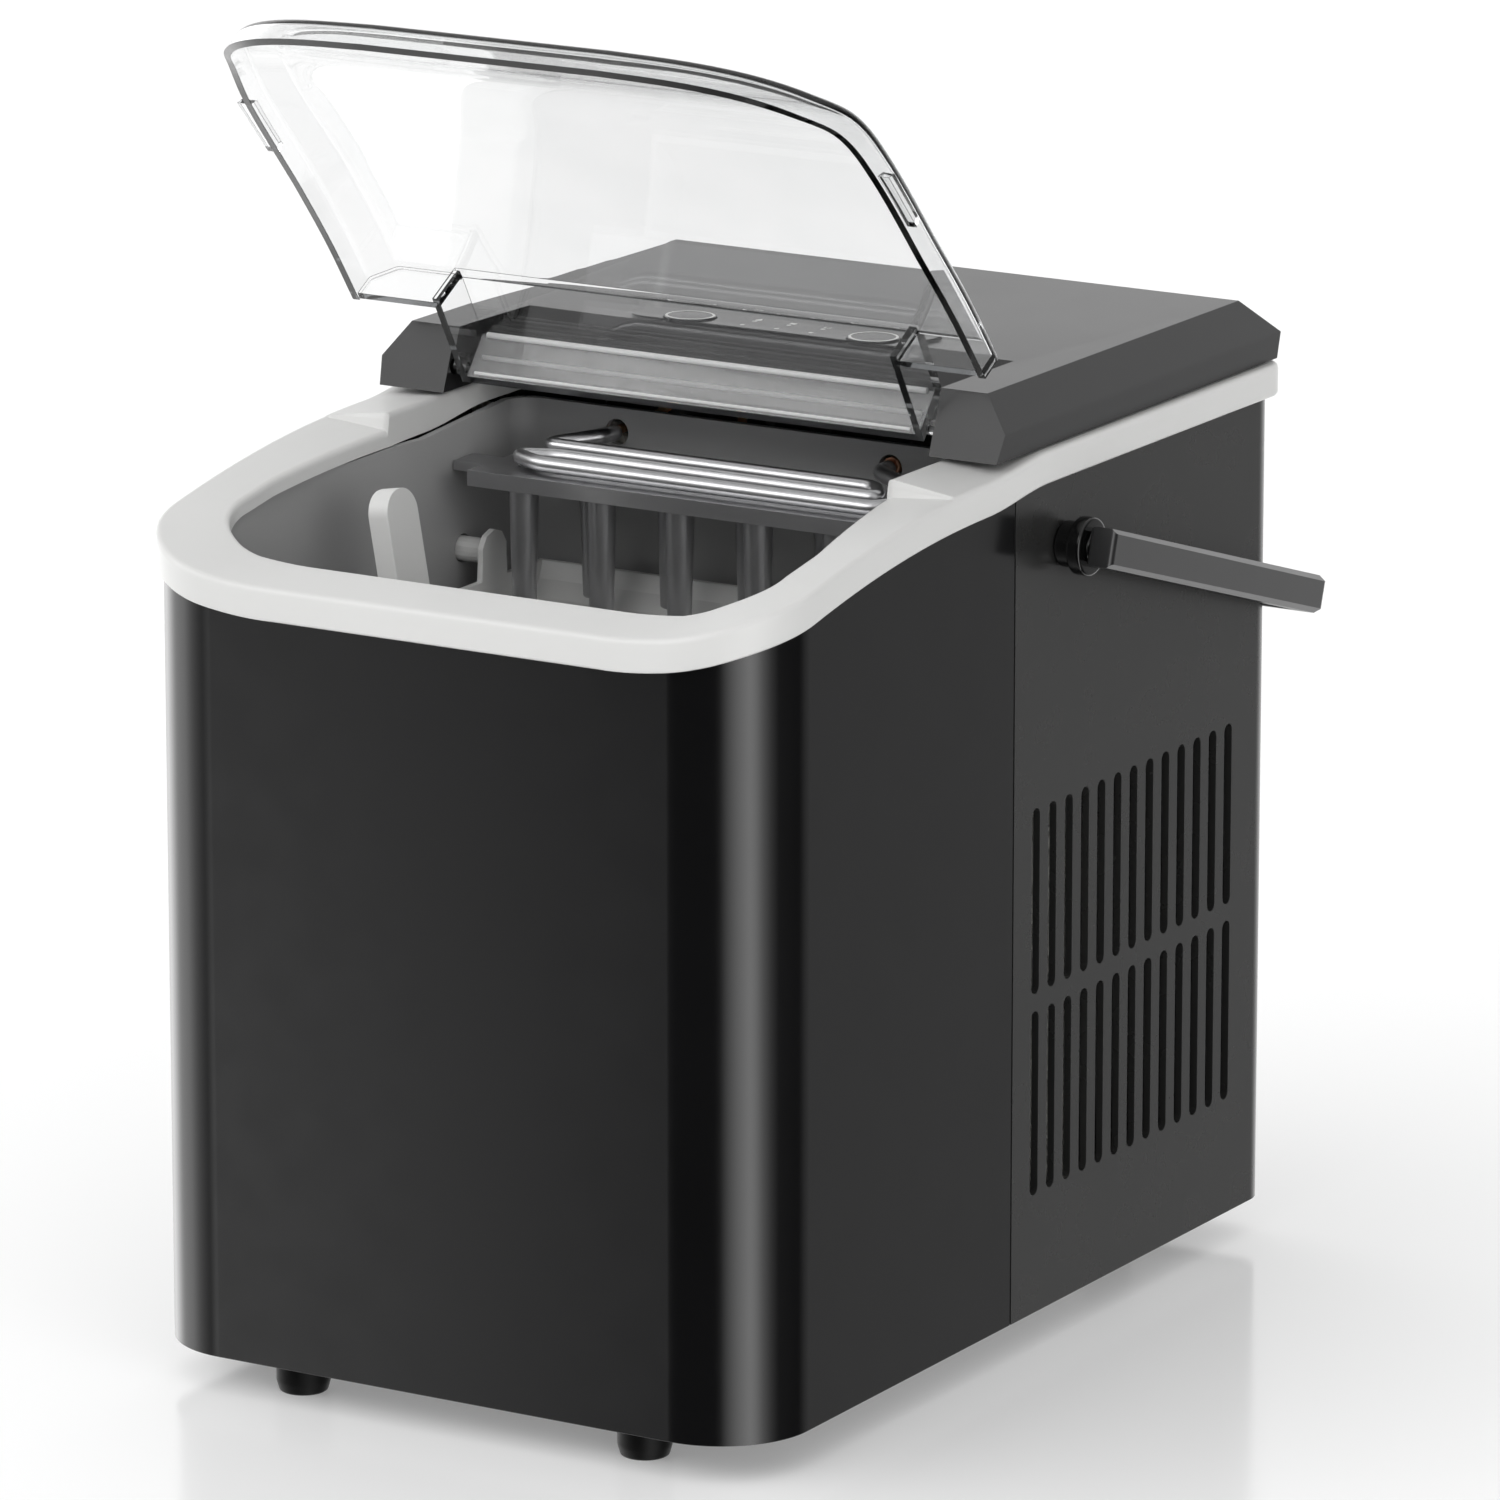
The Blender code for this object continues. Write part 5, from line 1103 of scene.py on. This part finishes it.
# ---------------- CAD nodes that stay
def keep_nodes():
    """The other CAD nodes keep their shape and get their material and slightly rounded edges."""
    kept = (
        (SIDE, "base_plate"),
        (FOAM, "bulkhead foam_jacket"),
        (BOARD, "control_board"),
        (PAINT, "compressor"),
        (FINS, "condenser"),
        (COPPER, "discharge_pipe suction_pipe capillary_tube filter_drier"),
        (STEEL, "hot_gas_valve fan_motor"),
        (DARK, "fan_blade fan_shroud drain_spout tray_motor water_pump ice_sensor_left ice_sensor_right"),
        (BIN, "ice_pusher"),
        (WHITE, "drip_grid water_tray water_sensor fill_hose"),
        (RUBBER, "compressor_mount_1 compressor_mount_2 compressor_mount_3 compressor_mount_4"),
    )
    for material, name in ((material, name) for material, names in kept for name in names.split()):
        node = frame["nodes"][name]
        node.data.materials.clear()
        node.data.materials.append(material)
        weld = node.modifiers.new("weld", "WELD")
        weld.merge_threshold = 0.00002
        round_edges(node, 0.0004, 2, 30)


# ---------------- stage, light and camera
def stage():
    """A pale floor with a soft sheen."""
    bm = bmesh.new()
    bmesh.ops.create_grid(bm, x_segments=1, y_segments=1, size=40.0)
    floor = object_from("floor", bm)
    material, _, shader = new_material("pale_floor")
    feed(shader, Base_Color=(0.86, 0.86, 0.86, 1.0), Emission_Color=(1.0, 1.0, 1.0, 1.0),
         Emission_Strength=0.20, Roughness=0.13, Specular_IOR_Level=0.45)
    floor.data.materials.append(material)
    floor.visible_glossy = False


# Brightness of the studio round the horizon: degrees from the front toward the right, and radiance.
HORIZON = ((-180, 1.5), (-166, 1.1), (-149, 0.80), (-132, 1.3), (-118, 2.4), (-105, 2.6), (-91, 1.85),
           (-72, 2.0), (-58, 1.0), (-48, 0.55), (-43, 0.38), (-39.5, 0.55), (-36, 1.10), (-34.3, 1.0),
           (-33.2, 0.75), (-32.2, 0.12), (-28, 0.02), (24, 0.02), (30, 0.16), (38, 1.2), (49, 2.5), (64, 3.9),
           (71, 3.2), (80, 1.6), (90, 0.6), (100, 0.1), (132, 0.03), (144, 0.25), (149, 0.30), (156, 0.45),
           (168, 1.4), (180, 1.5))
BRIGHTEST = 4.0
CEILING = 0.78
LIGHT_BOX = 2.6
LIGHT_BOX_TURN = radians(35)
FRONT_TURN = radians(34.5)


def studio():
    """A pale studio: soft boxes left, right and behind, dark cards between them, a light above the front."""
    world = bpy.data.worlds.new("studio")
    bpy.context.scene.world = world
    world.use_nodes = True
    tree = world.node_tree
    parts = new_node(tree, "SeparateXYZ", Vector=new_node(tree, "TexCoord").outputs["Generated"])
    x, y, z = (parts.outputs[axis] for axis in "XYZ")

    def sum_of(operation, *values):
        """One sum in the shader; each value is a number or a socket."""
        node = new_node(tree, "Math")
        node.operation = operation
        for socket, value in zip(node.inputs, values):
            set_socket(socket, value)
        return node.outputs["Value"]

    def add(first, second):
        return sum_of("ADD", first, second)

    def times(first, second):
        return sum_of("MULTIPLY", first, second)

    def turned_from(middle):
        return sum_of("ABSOLUTE", add(angle, middle))

    angle = sum_of("ARCTAN2", x, times(y, -1.0))
    ramp = new_node(tree, "ValToRGB", Fac=add(sum_of("DIVIDE", angle, tau), 0.5))
    elements = ramp.color_ramp.elements
    while len(elements) < len(HORIZON):
        elements.new(1.0)
    for element, (degrees, radiance) in zip(elements, HORIZON):
        element.position = (degrees + 180) / 360
        element.color = (*[radiance / BRIGHTEST] * 3, 1.0)
    horizon = times(ramp.outputs["Color"], BRIGHTEST)
    low_band = times(horizon, remap(tree, z, 0.28, 0.58, 1.0, 0.0))
    in_front = remap(tree, turned_from(FRONT_TURN), radians(3.5), radians(6.5), 1.0, 0.0)
    deeper = remap(tree, z, -0.205, -0.290, -0.30, 0.45)
    low_band = times(low_band, add(times(in_front, deeper), 1.0))
    overhead = times(remap(tree, z, 0.22, 0.72), CEILING)
    box_side = remap(tree, turned_from(LIGHT_BOX_TURN), radians(25), radians(50), LIGHT_BOX, 0.0)
    box_rise = times(remap(tree, z, 0.30, 0.42), remap(tree, z, 0.62, 0.78, 1.0, 0.0))
    total = add(add(low_band, overhead), times(box_side, box_rise))
    feed(tree.nodes["Background"], Color=(1.0, 1.0, 1.0, 1.0), Strength=total)


CAMERA_AZIMUTH = radians(31.003)
CAMERA_PITCH = radians(14.329)
CAMERA_DISTANCE = 3.2449
CAMERA_TARGET = (0.0, 0.18303, 0.17618)
FOCAL_LENGTH = 246.64


def camera():
    """From the front right, looking a little down, through a long lens."""
    level, down = cos(CAMERA_PITCH), sin(CAMERA_PITCH)
    ahead = Vector((-sin(CAMERA_AZIMUTH) * level, cos(CAMERA_AZIMUTH) * level, -down))
    data = bpy.data.cameras.new("camera")
    data.sensor_width = 36.0
    data.lens = FOCAL_LENGTH
    data.clip_start = 0.1
    data.clip_end = 200.0
    view = add_object("camera", data)
    target = Vector((CAMERA_TARGET[0], CAMERA_TARGET[1] + FRONT, CAMERA_TARGET[2]))
    view.location = target - ahead * CAMERA_DISTANCE
    view.rotation_euler = ahead.to_track_quat("-Z", "Y").to_euler()
    bpy.context.scene.camera = view
    bpy.context.scene.view_settings.view_transform = "Standard"


front_casing()
rear_casing()
light_collar()
dark_cover()
clear_lid()
lid_ribs()
lid_pins()
bail()
pivots()
tub()
basket()
scoop()
panel()
feet()
rear_details()
cooling()
keep_nodes()
stage()
studio()
camera()
